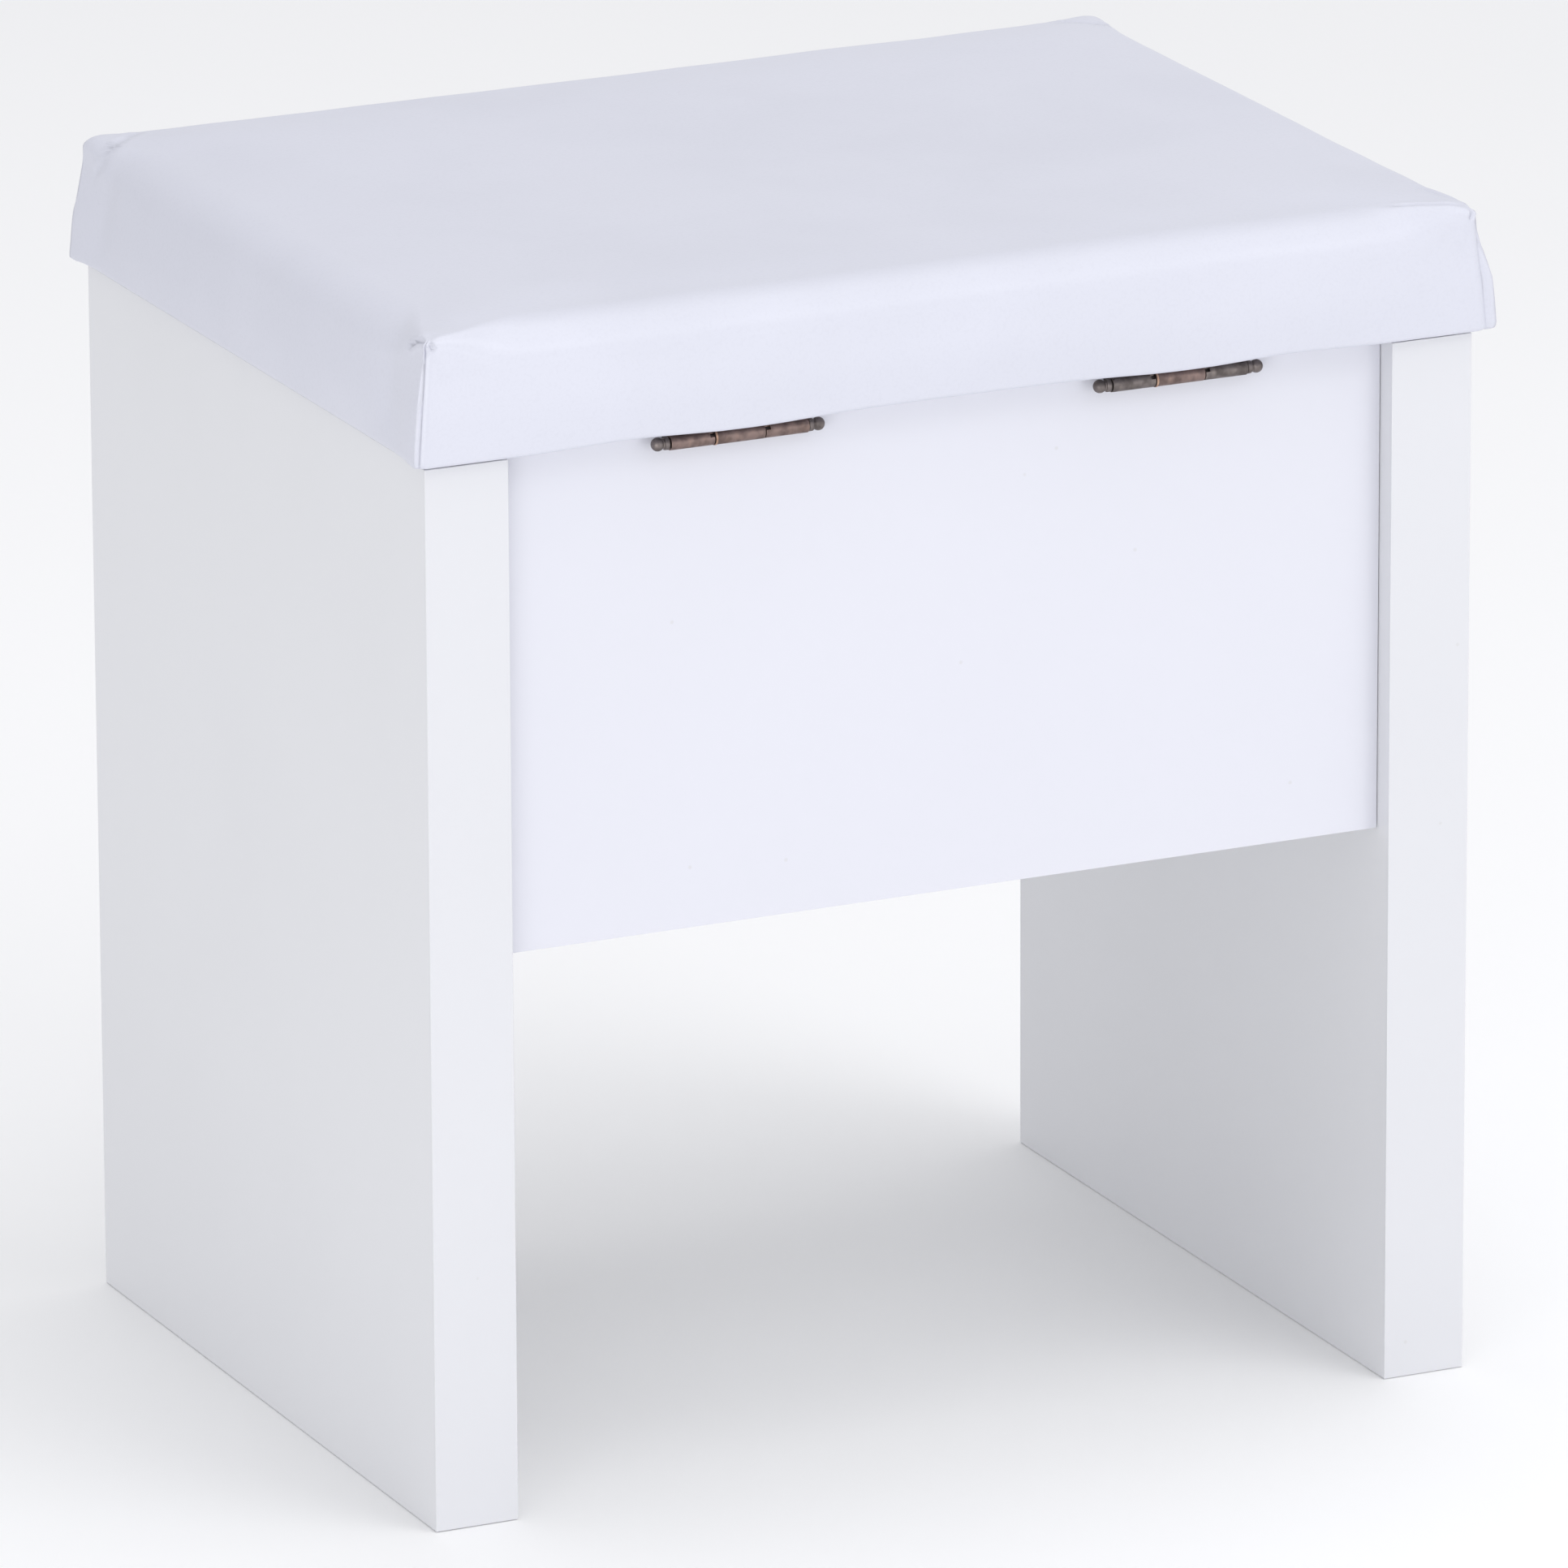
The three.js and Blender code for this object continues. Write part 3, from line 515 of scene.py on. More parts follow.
def raw_board_paint():
    """Bare particle board: pressed flakes of several browns."""
    made, paint, shader = material("particle_board", Roughness=0.85)
    where = object_coords(paint)
    flakes = paint.add("ShaderNodeTexVoronoi", Scale=650.0)
    paint.put(flakes.inputs["Vector"], where)
    shade = paint.add("ShaderNodeSeparateColor")
    paint.put(shade.inputs[0], flakes.outputs["Color"])
    tone = place_group(
        paint,
        tone_drift,
        Base=(0.52, 0.38, 0.24, 1),
        Drift=(0.36, 0.25, 0.15, 1),
        Amount=0.8,
        Scale=420.0,
    )
    color = paint.mix(
        paint.math("MULTIPLY", shade.outputs[0], 0.5), tone["Color"], (0.66, 0.52, 0.36, 1)
    )
    paint.put(shader.inputs["Base Color"], color)
    paint.put(
        shader.inputs["Normal"], paint.bump(flakes.outputs["Distance"], 0.5, 0.15 * MM)
    )
    return made


def beech_paint():
    """Pale beech with long fine grain across the joint."""
    made, paint, shader = material("beech", Roughness=0.6)
    stretch = paint.add("ShaderNodeVectorMath", {"operation": "MULTIPLY"})
    paint.put(stretch.inputs[0], object_coords(paint))
    stretch.inputs[1].default_value = (0.08, 1.0, 1.0)
    fibre = paint.noise(stretch.outputs[0], 1600.0, 3.0)
    color = paint.mix(
        paint.ramp(fibre, 0.4, 0.65), (0.66, 0.47, 0.28, 1), (0.50, 0.33, 0.18, 1)
    )
    paint.put(shader.inputs["Base Color"], color)
    paint.put(shader.inputs["Normal"], paint.bump(fibre, 0.3, 0.1 * MM))
    return made


def rubber_paint():
    """Clear soft plastic, slightly cloudy."""
    made, paint, shader = material(
        "clear_rubber", IOR=1.5, Transmission_Weight=0.55, Subsurface_Weight=0.1
    )
    tone = place_group(
        paint,
        tone_drift,
        Base=(0.84, 0.85, 0.86, 1),
        Drift=(0.75, 0.76, 0.77, 1),
        Amount=0.6,
        Scale=120.0,
    )
    paint.put(shader.inputs["Base Color"], tone["Color"])
    rough = paint.math("MULTIPLY_ADD", tone["Cloud"], 0.15)
    rough.node.inputs[2].default_value = 0.22
    paint.put(shader.inputs["Roughness"], rough)
    return made


BAND_THICK = 0.8 * MM

side_foil = white_foil(
    "side_foil",
    (0.725, 0.73, 0.755, 1),
    (0.70, 0.705, 0.73, 1),
    0.285,
    seams=[("Y", BODY_HALF_DEPTH - BAND_THICK)],
)
apron_foil = white_foil("apron_foil", (0.705, 0.71, 0.775, 1), (0.69, 0.695, 0.755, 1), 0.285)
edge_strip = white_foil("edge_strip", (0.70, 0.705, 0.735, 1), (0.68, 0.685, 0.715, 1), 0.33)
hardboard = hardboard_paint()
leather = leather_paint()
copper_bronze = bronze_paint(
    "copper_bronze", (0.16, 0.118, 0.108, 1), (0.265, 0.195, 0.178, 1), (0.46, 0.32, 0.26, 1)
)
dark_bronze = bronze_paint(
    "dark_bronze", (0.13, 0.113, 0.108, 1), (0.215, 0.187, 0.18, 1), (0.38, 0.32, 0.28, 1)
)
# Brighter copper for the lid knuckle's end ring: partly rubbed metal, partly a painted highlight for
# the bright line at that end of the barrel.
rubbed_copper = bronze_paint(
    "rubbed_copper", (0.38, 0.24, 0.17, 1), (0.62, 0.42, 0.31, 1), (0.80, 0.58, 0.44, 1)
)
plated_zinc = zinc_paint()
particle_board = raw_board_paint()
beech = beech_paint()
clear_rubber = rubber_paint()


# ---------------------------------------------------------------- mesh helpers


def new_object(name, mesh, *materials):
    made = bpy.data.objects.new(name, mesh)
    bpy.context.scene.collection.objects.link(made)
    for one in materials:
        mesh.materials.append(one)
    return made


def mesh_from_bmesh(name, shape, smooth=False):
    mesh = bpy.data.meshes.new(name)
    for face in shape.faces:
        face.smooth = smooth
    shape.to_mesh(mesh)
    shape.free()
    return mesh


def finished(source, name, *materials):
    """The source with its modifiers worked out, as a new plain object. The source is removed."""
    depsgraph = bpy.context.evaluated_depsgraph_get()
    mesh = bpy.data.meshes.new_from_object(source.evaluated_get(depsgraph))
    mesh.name = name
    mesh.materials.clear()
    bpy.data.objects.remove(source)
    return new_object(name, mesh, *materials)


def soften_edges(piece, width, segments=3, angle=40):
    """Rounds the piece's hard edges and lights its flat faces evenly."""
    for face in piece.data.polygons:
        face.use_smooth = True
    bevel = piece.modifiers.new("rounded_edges", "BEVEL")
    bevel.width = width
    bevel.segments = segments
    bevel.limit_method = "ANGLE"
    bevel.angle_limit = math.radians(angle)
    bevel.use_clamp_overlap = True
    even = piece.modifiers.new("even_faces", "WEIGHTED_NORMAL")
    even.weight = 100
    even.keep_sharp = False


def smooth_by_angle(mesh, degrees=35):
    mesh.set_sharp_from_angle(angle=math.radians(degrees))
    for face in mesh.polygons:
        face.use_smooth = True


def copy_of_node(node_name):
    """A merged copy of a CAD node's faces, with its flat faces joined up again."""
    shape = bmesh.new()
    shape.from_mesh(nodes[node_name].data)
    bmesh.ops.remove_doubles(shape, verts=shape.verts, dist=0.002 * MM)
    bmesh.ops.dissolve_limit(
        shape, angle_limit=math.radians(0.5), verts=shape.verts, edges=shape.edges
    )
    bmesh.ops.recalc_face_normals(shape, faces=shape.faces)
    return shape


def turned(profile, segments=48):
    """A closed solid of revolution round X. The profile is [(x, radius), ...] from axis to axis."""
    shape = bmesh.new()
    rings = []
    for x, radius in profile:
        if radius < 1e-9:
            rings.append([shape.verts.new((x, 0, 0))])
            continue
        ring = []
        for k in range(segments):
            angle = math.tau * k / segments
            ring.append(shape.verts.new((x, radius * math.cos(angle), radius * math.sin(angle))))
        rings.append(ring)
    for low, high in zip(rings, rings[1:]):
        for k in range(segments):
            following = (k + 1) % segments
            corners = [low[k % len(low)], low[following % len(low)]]
            corners += [high[following % len(high)], high[k % len(high)]]
            corners = list(dict.fromkeys(corners))
            shape.faces.new(corners)
    bmesh.ops.recalc_face_normals(shape, faces=shape.faces)
    return shape


def slab(low, high, corner=0.0, axis=2, steps=5):
    """A flat plate from its lowest to its highest corner, its outline rounded about `axis`."""
    others = [k for k in range(3) if k != axis]
    half = [(high[k] - low[k]) / 2 for k in others]
    centre = [(high[k] + low[k]) / 2 for k in others]
    outline = []
    for quarter, (sign_a, sign_b) in enumerate(((1, 1), (-1, 1), (-1, -1), (1, -1))):
        for step in range(steps + 1 if corner else 1):
            angle = math.radians(90 * (quarter + (step / steps if corner else 0.5)))
            outline.append(
                (
                    centre[0] + sign_a * (half[0] - corner) + corner * math.cos(angle),
                    centre[1] + sign_b * (half[1] - corner) + corner * math.sin(angle),
                )
            )
    shape = bmesh.new()
    layers = []
    for level in (low[axis], high[axis]):
        layer = []
        for a, b in outline:
            place = [0.0, 0.0, 0.0]
            place[others[0]], place[others[1]], place[axis] = a, b, level
            layer.append(shape.verts.new(place))
        layers.append(layer)
    shape.faces.new(layers[0])
    shape.faces.new(layers[1])
    for k in range(len(outline)):
        j = (k + 1) % len(outline)
        shape.faces.new((layers[0][k], layers[0][j], layers[1][j], layers[1][k]))
    bmesh.ops.recalc_face_normals(shape, faces=shape.faces)
    return shape


def combine(base, operation, *cutters):
    """Joins or cuts the base object by each cutter, exactly, and removes the cutters."""
    for cutter in cutters:
        step = base.modifiers.new("cut", "BOOLEAN")
        step.operation = operation
        step.solver = "EXACT"
        step.object = cutter
    name = base.name
    base.name = name + "_rough"
    whole = finished(base, name)
    for cutter in cutters:
        bpy.data.objects.remove(cutter)
    return whole


# ---------------------------------------------------------------- board parts


def board_piece(node_name, faces, strips, strip_axes, edge, body):
    """A board with rounded edges. Faces whose normal lies along a strip axis wear the edge strip."""
    shape = copy_of_node(node_name)
    low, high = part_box(node_name)
    for face in shape.faces:
        middle = face.calc_center_median()
        for axis in strip_axes:
            on_end = min(abs(middle[axis] - low[axis]), abs(middle[axis] - high[axis])) < edge
            if abs(face.normal[axis]) > 0.9 and on_end:
                face.material_index = 1
    name = node_name + "_foil" if strips else node_name + "_face"
    mesh = mesh_from_bmesh(name, shape)
    piece = new_object(name, mesh, faces, strips or faces)
    soften_edges(piece, edge)
    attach(piece, body)
    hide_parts(node_name)
    return piece


def make_boards():
    for side in ("left", "right"):
        piece = board_piece(f"side_panel_{side}", side_foil, edge_strip, (1, 2), 0.35 * MM, "carcase")
    for end in ("rear", "front"):
        piece = board_piece(f"{end}_panel", apron_foil, edge_strip, (2,), 0.3 * MM, "carcase")
    for node_name, body in (("bottom_panel", "carcase"), ("lid_liner", "lid")):
        piece = board_piece(node_name, hardboard, None, (), 0.15 * MM, body)


# ---------------------------------------------------------------- repeated small pieces


def repeat_tree(name, sizes, build, paint):
    """A Geometry Nodes tree with named size inputs. build(tree, inputs) returns the instances."""
    tree = bpy.data.node_groups.new(name, "GeometryNodeTree")
    tree.interface.new_socket("Geometry", in_out="INPUT", socket_type="NodeSocketGeometry")
    tree.interface.new_socket("Part", in_out="INPUT", socket_type="NodeSocketObject")
    for label in sizes:
        socket = tree.interface.new_socket(label, in_out="INPUT", socket_type="NodeSocketFloat")
        socket.default_value = sizes[label]
    tree.interface.new_socket("Geometry", in_out="OUTPUT", socket_type="NodeSocketGeometry")
    helper = Tree(tree)
    start = tree.nodes.new("NodeGroupInput")
    end = tree.nodes.new("NodeGroupOutput")
    part = helper.add("GeometryNodeObjectInfo", {"transform_space": "ORIGINAL"})
    helper.put(part.inputs["Object"], start.outputs["Part"])
    helper.put(part.inputs["As Instance"], True)
    instances = build(helper, start.outputs, part.outputs["Geometry"])
    real = helper.add("GeometryNodeRealizeInstances")
    helper.put(real.inputs["Geometry"], instances)
    painted = helper.add("GeometryNodeSetMaterial")
    helper.put(painted.inputs["Geometry"], real.outputs["Geometry"])
    painted.inputs["Material"].default_value = paint
    helper.put(end.inputs["Geometry"], painted.outputs["Geometry"])
    return tree


def run_tree(name, tree, part, sizes, paint):
    """Runs the tree with its sizes and returns the result as a plain, painted object."""
    holder = new_object(name + "_holder", bpy.data.meshes.new(name + "_holder"))
    step = holder.modifiers.new("repeat", "NODES")
    step.node_group = tree
    for item in tree.interface.items_tree:
        if item.item_type != "SOCKET" or item.in_out != "INPUT":
            continue
        if item.name == "Part":
            step[item.identifier] = part
        elif item.name in sizes:
            step[item.identifier] = sizes[item.name]
    piece = finished(holder, name, paint)
    bpy.data.objects.remove(part)
    return piece


def join_xyz(helper, x, y, z):
    node = helper.add("ShaderNodeCombineXYZ")
    helper.put(node.inputs[0], x)
    helper.put(node.inputs[1], y)
    helper.put(node.inputs[2], z)
    return node.outputs[0]


def box_corner_build(helper, sizes, part):
    """One part on each corner of a box, turned round Z where y is negative."""
    spans = [helper.math("MULTIPLY", sizes[key], 2.0) for key in ("Half X", "Half Y", "Half Z")]
    corners = helper.add("GeometryNodeMeshCube")
    helper.put(corners.inputs["Size"], join_xyz(helper, *spans))
    moved = helper.add("GeometryNodeTransform")
    helper.put(moved.inputs["Geometry"], corners.outputs["Mesh"])
    helper.put(moved.inputs["Translation"], join_xyz(helper, 0.0, 0.0, sizes["Middle Z"]))
    place = helper.add("GeometryNodeInputPosition").outputs[0]
    split = helper.add("ShaderNodeSeparateXYZ")
    helper.put(split.inputs[0], place)
    turn = helper.math("MULTIPLY", helper.math("LESS_THAN", split.outputs[1], 0.0), math.pi)
    copies = helper.add("GeometryNodeInstanceOnPoints")
    helper.put(copies.inputs["Points"], moved.outputs["Geometry"])
    helper.put(copies.inputs["Instance"], part)
    helper.put(copies.inputs["Rotation"], join_xyz(helper, 0.0, 0.0, turn))
    return copies.outputs["Instances"]


def grid_corner_build(helper, sizes, part):
    """One part on each corner of a flat rectangle."""
    grid = helper.add("GeometryNodeMeshGrid", Vertices_X=2, Vertices_Y=2)
    helper.put(grid.inputs["Size X"], helper.math("MULTIPLY", sizes["Half X"], 2.0))
    helper.put(grid.inputs["Size Y"], helper.math("MULTIPLY", sizes["Half Y"], 2.0))
    moved = helper.add("GeometryNodeTransform")
    helper.put(moved.inputs["Geometry"], grid.outputs["Mesh"])
    middle = join_xyz(helper, sizes["Middle X"], sizes["Middle Y"], sizes["Level Z"])
    helper.put(moved.inputs["Translation"], middle)
    copies = helper.add("GeometryNodeInstanceOnPoints")
    helper.put(copies.inputs["Points"], moved.outputs["Geometry"])
    helper.put(copies.inputs["Instance"], part)
    return copies.outputs["Instances"]


def loop_build(helper, sizes, part):
    """Parts spaced along a rectangle and turned to lie along it."""
    loop = helper.add("GeometryNodeCurvePrimitiveQuadrilateral")
    helper.put(loop.inputs["Width"], helper.math("MULTIPLY", sizes["Half X"], 2.0))
    helper.put(loop.inputs["Height"], helper.math("MULTIPLY", sizes["Half Y"], 2.0))
    rounded = helper.add("GeometryNodeFilletCurve", {"mode": "POLY"})
    helper.put(rounded.inputs["Curve"], loop.outputs["Curve"])
    helper.put(rounded.inputs["Radius"], sizes["Corner"])
    rounded.inputs["Count"].default_value = 6
    spaced = helper.add("GeometryNodeResampleCurve", {"mode": "LENGTH"})
    helper.put(spaced.inputs["Curve"], rounded.outputs["Curve"])
    helper.put(spaced.inputs["Length"], sizes["Spacing"])
    moved = helper.add("GeometryNodeTransform")
    helper.put(moved.inputs["Geometry"], spaced.outputs["Curve"])
    middle = join_xyz(helper, sizes["Middle X"], sizes["Middle Y"], sizes["Level Z"])
    helper.put(moved.inputs["Translation"], middle)
    tangent = helper.add("GeometryNodeInputTangent").outputs[0]
    aligned = helper.add("FunctionNodeAlignRotationToVector", {"axis": "X", "pivot_axis": "Z"})
    helper.put(aligned.inputs["Vector"], tangent)
    copies = helper.add("GeometryNodeInstanceOnPoints")
    helper.put(copies.inputs["Points"], moved.outputs["Geometry"])
    helper.put(copies.inputs["Instance"], part)
    helper.put(copies.inputs["Rotation"], aligned.outputs[0])
    return copies.outputs["Instances"]


def row_pair_build(helper, sizes, part):
    """Two parts on each of two spots along X, turned round X by `Roll`: one hinge's screws twice."""
    def pair(spacing, middle_x, y, z):
        line = helper.add("GeometryNodeMeshLine", {"mode": "OFFSET"}, Count=2)
        helper.put(line.inputs["Offset"], join_xyz(helper, spacing, 0.0, 0.0))
        first_x = helper.math("SUBTRACT", middle_x, helper.math("MULTIPLY", spacing, 0.5))
        helper.put(line.inputs["Start Location"], join_xyz(helper, first_x, y, z))
        return line.outputs["Mesh"]

    hinges = pair(sizes["Hinge Spacing"], sizes["Hinge Middle"], sizes["Row Y"], sizes["Level Z"])
    holes = pair(sizes["Hole Spacing"], 0.0, 0.0, 0.0)
    spots = helper.add("GeometryNodeInstanceOnPoints")
    helper.put(spots.inputs["Points"], hinges)
    helper.put(spots.inputs["Instance"], holes)
    real = helper.add("GeometryNodeRealizeInstances")
    helper.put(real.inputs["Geometry"], spots.outputs["Instances"])
    copies = helper.add("GeometryNodeInstanceOnPoints")
    helper.put(copies.inputs["Points"], real.outputs["Geometry"])
    helper.put(copies.inputs["Instance"], part)
    helper.put(copies.inputs["Rotation"], join_xyz(helper, sizes["Roll"], 0.0, 0.0))
    return copies.outputs["Instances"]


def middle_of(node_name):
    low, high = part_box(node_name)
    return (low + high) / 2


def cross_cutter(reach, width, top, depth):
    """A cross-shaped punch, tapered towards its tip, for a screw's recess."""
    first = slab((-reach, -width / 2, top - depth), (reach, width / 2, top + 1 * MM))
    second = slab((-width / 2, -reach, top - depth), (width / 2, reach, top + 1 * MM))
    for shape in (first, second):
        for vert in shape.verts:
            if vert.co.z < top:
                vert.co.x *= 0.45
                vert.co.y *= 0.45
    objects = [
        new_object("punch", mesh_from_bmesh("punch", shape)) for shape in (first, second)
    ]
    return combine(objects[0], "UNION", objects[1])


def screw_part(name, head_profile, recess_reach, top):
    """A screw standing on -Z with its head up, cut with a cross. Profile is [(z, radius), ...]."""
    shape = turned(head_profile, 28)
    bmesh.ops.rotate(
        shape, verts=shape.verts, cent=(0, 0, 0), matrix=Matrix.Rotation(-math.pi / 2, 3, "Y")
    )
    body = new_object(name + "_blank", mesh_from_bmesh(name + "_blank", shape))
    punch = cross_cutter(recess_reach, recess_reach * 0.34, top, recess_reach * 0.8)
    cut = combine(body, "DIFFERENCE", punch)
    smooth_by_angle(cut.data, 30)
    return cut


def make_hinge_screws():
    """Countersunk screws: four hold the body leaves to the rear panel, four hold the lid leaves."""
    for leaf, body, paint in (("body", "carcase", copper_bronze), ("lid", "lid", copper_bronze)):
        names = [name for name in nodes if name.startswith(f"hinge_screw_{leaf}_")]
        spots = [middle_of(name) for name in names]
        low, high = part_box(names[0])
        head_z = high.z if leaf == "body" else low.z
        length = high.z - low.z
        left_x = sorted(spot.x for spot in spots if spot.x > 0)
        right_x = sorted(spot.x for spot in spots if spot.x < 0)
        left_middle = sum(left_x) / 2
        right_middle = sum(right_x) / 2
        sizes = {
            "Hinge Spacing": left_middle - right_middle,
            "Hinge Middle": (left_middle + right_middle) / 2,
            "Hole Spacing": left_x[1] - left_x[0],
            "Row Y": spots[0].y,
            "Level Z": head_z,
            "Roll": 0.0 if leaf == "body" else math.pi,
        }
        profile = [(-length, 0), (-length + 2 * MM, 1.1 * MM)]
        thread = -length + 2 * MM
        while thread < -3.2 * MM:
            profile += [(thread + 0.5 * MM, 1.3 * MM), (thread + 0.9 * MM, 0.95 * MM)]
            thread += 0.9 * MM
        profile += [(-0.9 * MM, 1.25 * MM), (-0.12 * MM, 2.5 * MM), (-0.02 * MM, 2.55 * MM)]
        profile += [(0, 2.4 * MM), (0, 0)]
        part = screw_part(f"countersunk_{leaf}", profile, 1.5 * MM, 0)
        tree = repeat_tree(f"hinge_screw_rows_{leaf}", sizes, row_pair_build, paint)
        piece = run_tree(f"hinge_screws_{leaf}", tree, part, sizes, paint)
        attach(piece, body)
        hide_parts(*names)


def make_liner_screws():
    """Pan-head screws at the liner's four corners."""
    names = [name for name in nodes if name.startswith("liner_screw_")]
    spots = [middle_of(name) for name in names]
    low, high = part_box(names[0])
    xs = [spot.x for spot in spots]
    ys = [spot.y for spot in spots]
    sizes = {
        "Half X": (max(xs) - min(xs)) / 2,
        "Half Y": (max(ys) - min(ys)) / 2,
        "Middle X": (max(xs) + min(xs)) / 2,
        "Middle Y": (max(ys) + min(ys)) / 2,
        "Level Z": liner_low.z,
    }
    head = liner_low.z - low.z
    length = high.z - liner_low.z
    dome = [
        (head * math.cos(math.radians(a)) + 0.0, 3.2 * MM * math.sin(math.radians(a)))
        for a in (80, 65, 50, 35, 18, 0)
    ]
    profile = [(-length, 0), (-length + 2 * MM, 1.2 * MM), (0, 1.3 * MM), (0, 3.15 * MM)] + dome
    part = screw_part("pan_head", profile, 1.7 * MM, head)
    for vert in part.data.vertices:
        vert.co.z *= -1
    part.data.flip_normals()
    tree = repeat_tree("liner_screw_grid", sizes, grid_corner_build, plated_zinc)
    piece = run_tree("liner_screws", tree, part, sizes, plated_zinc)
    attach(piece, "lid")
    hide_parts(*names)


def make_bumpers():
    """Small domed pads, one near each corner of the box's top edge."""
    names = [name for name in nodes if name.startswith("lid_bumper_")]
    spots = [middle_of(name) for name in names]
    low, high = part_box(names[0])
    height = high.z - low.z
    radius = (high.x - low.x) / 2
    sizes = {
        "Half X": max(spot.x for spot in spots),
        "Half Y": max(spot.y for spot in spots),
        "Middle X": 0.0,
        "Middle Y": 0.0,
        "Level Z": low.z,
    }
    profile = [(0, 0), (0, radius * 0.97), (height * 0.1, radius), (height * 0.3, radius)]
    for degrees in (15, 30, 45, 60, 75, 90):
        angle = math.radians(degrees)
        level = height * (0.3 + 0.7 * math.sin(angle))
        profile.append((level, radius * (0.55 + 0.45 * math.cos(angle)) if degrees < 90 else 0))
    shape = turned(profile, 40)
    bmesh.ops.rotate(
        shape, verts=shape.verts, cent=(0, 0, 0), matrix=Matrix.Rotation(-math.pi / 2, 3, "Y")
    )
    part = new_object("bumper_part", mesh_from_bmesh("bumper_part", shape, smooth=True))
    smooth_by_angle(part.data, 50)
    tree = repeat_tree("bumper_grid", sizes, grid_corner_build, clear_rubber)
    piece = run_tree("lid_bumpers", tree, part, sizes, clear_rubber)
    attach(piece, "carcase")
    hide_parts(*names)


def make_cams():
    """Cast cam drums in the aprons' inner faces: rim, cross recess and the bolt's pocket."""
    names = [name for name in nodes if name.startswith("cam_lock_")]
    spots = [middle_of(name) for name in names]
    low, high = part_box("cam_lock_rear_left_lower")
    depth = high.y - low.y
    radius = (high.x - low.x) / 2
    zs = [spot.z for spot in spots]
    sizes = {
        "Half X": max(spot.x for spot in spots),
        "Half Y": low.y,
        "Half Z": (max(zs) - min(zs)) / 2,
        "Middle Z": (max(zs) + min(zs)) / 2,
    }
    lip = 0.35 * MM
    profile = [(lip, 0), (lip, radius - 1.9 * MM), (0, radius - 1.6 * MM), (0, radius - lip)]
    profile += [(lip, radius), (depth - lip, radius), (depth, radius - lip), (depth, 0)]
    drum = turned(profile, 40)
    body = new_object("cam_blank", mesh_from_bmesh("cam_blank", drum))
    cutters = []
    for width, reach in ((2.0, 5.2), (5.2, 2.0)):
        slot = slab(
            (-1 * MM, -reach / 2 * MM, -width / 2 * MM),
            (3.0 * MM, reach / 2 * MM, width / 2 * MM),
        )
        cutters.append(new_object("cam_slot", mesh_from_bmesh("cam_slot", slot)))
    pocket = slab(
        (depth * 0.5 - 3.2 * MM, -5 * MM, -radius * 1.3),
        (depth * 0.5 + 3.2 * MM, 5 * MM, radius * 1.3),
    )
    cutters.append(new_object("cam_pocket", mesh_from_bmesh("cam_pocket", pocket)))
    cut = combine(body, "DIFFERENCE", *cutters)
    cut.data.transform(Matrix.Rotation(math.pi / 2, 4, "Z"))
    smooth_by_angle(cut.data, 30)
    tree = repeat_tree("cam_corners", sizes, box_corner_build, plated_zinc)
    piece = run_tree("cam_locks", tree, cut, sizes, plated_zinc)
    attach(piece, "carcase")
    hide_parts(*names)


def make_staples():
    """Wire staples that hold the cover's flap to the board, round the lid's underside."""
    sizes = {
        "Half X": 170 * MM,
        "Half Y": 135 * MM,
        "Middle X": 0.0,
        "Middle Y": 4 * MM,
        "Level Z": LID_UNDER_Z,
        "Corner": 12 * MM,
        "Spacing": 23 * MM,
    }
    wire = slab((-5 * MM, -0.6 * MM, -0.3 * MM), (5 * MM, 0.6 * MM, 0.3 * MM), 0.3 * MM, 0, 2)
    bmesh.ops.subdivide_edges(
        wire, edges=[e for e in wire.edges if abs(e.verts[0].co.x - e.verts[1].co.x) > MM], cuts=6
    )
    for vert in wire.verts:
        out = max(0, abs(vert.co.x) - 3.6 * MM) / (1.4 * MM)
        vert.co.z += out * out * 0.9 * MM
    part = new_object("staple_part", mesh_from_bmesh("staple_part", wire, smooth=True))
    tree = repeat_tree("staple_run", sizes, loop_build, plated_zinc)
    piece = run_tree("flap_staples", tree, part, sizes, plated_zinc)
    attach(piece, "lid")


# ---------------------------------------------------------------- hinges

BARREL_RADIUS = 2.5 * MM
BORE_RADIUS = 1.5 * MM
LEAF_REACH = 17 * MM
KNUCKLE_HALF = 9 * MM
KNUCKLE_GAP = 0.4 * MM
RING_WIDTH = 0.7 * MM
RING_SWELL = 0.22 * MM
ROLL_END = 211.0
ROLL_INNER_END = 240.0


def roll_outline(swell=0.0):
    """Section of a knuckle and the strip of leaf it is rolled from, as (y, z) round the axis."""
    outer = BARREL_RADIUS + swell
    points = [(-4.6 * MM, -BARREL_RADIUS), (-1.2 * MM, -BARREL_RADIUS)]
    for k in range(33):
        angle = math.radians(-90 + (ROLL_END + 90) * k / 32)
        points.append((outer * math.cos(angle), outer * math.sin(angle)))
    for k in range(25):
        angle = math.radians(ROLL_INNER_END - (ROLL_INNER_END + 90) * k / 24)
        points.append((BORE_RADIUS * math.cos(angle), BORE_RADIUS * math.sin(angle)))
    points.append((-4.6 * MM, -BORE_RADIUS))
    return points


def extruded(name, outline, low_x, high_x, up):
    """An (y, z) outline pushed along X from low_x to high_x about the hinge axis, as an object."""
    shape = bmesh.new()
    ends = []
    for x in (low_x, high_x):
        ends.append([shape.verts.new((x, AXIS_Y + y, AXIS_Z + up * z)) for y, z in outline])
    count = len(outline)
    shape.faces.new(ends[0])
    shape.faces.new(ends[1])
    for k in range(count):
        j = (k + 1) % count
        shape.faces.new((ends[0][k], ends[0][j], ends[1][j], ends[1][k]))
    bmesh.ops.recalc_face_normals(shape, faces=shape.faces)
    return new_object(name, mesh_from_bmesh(name, shape))


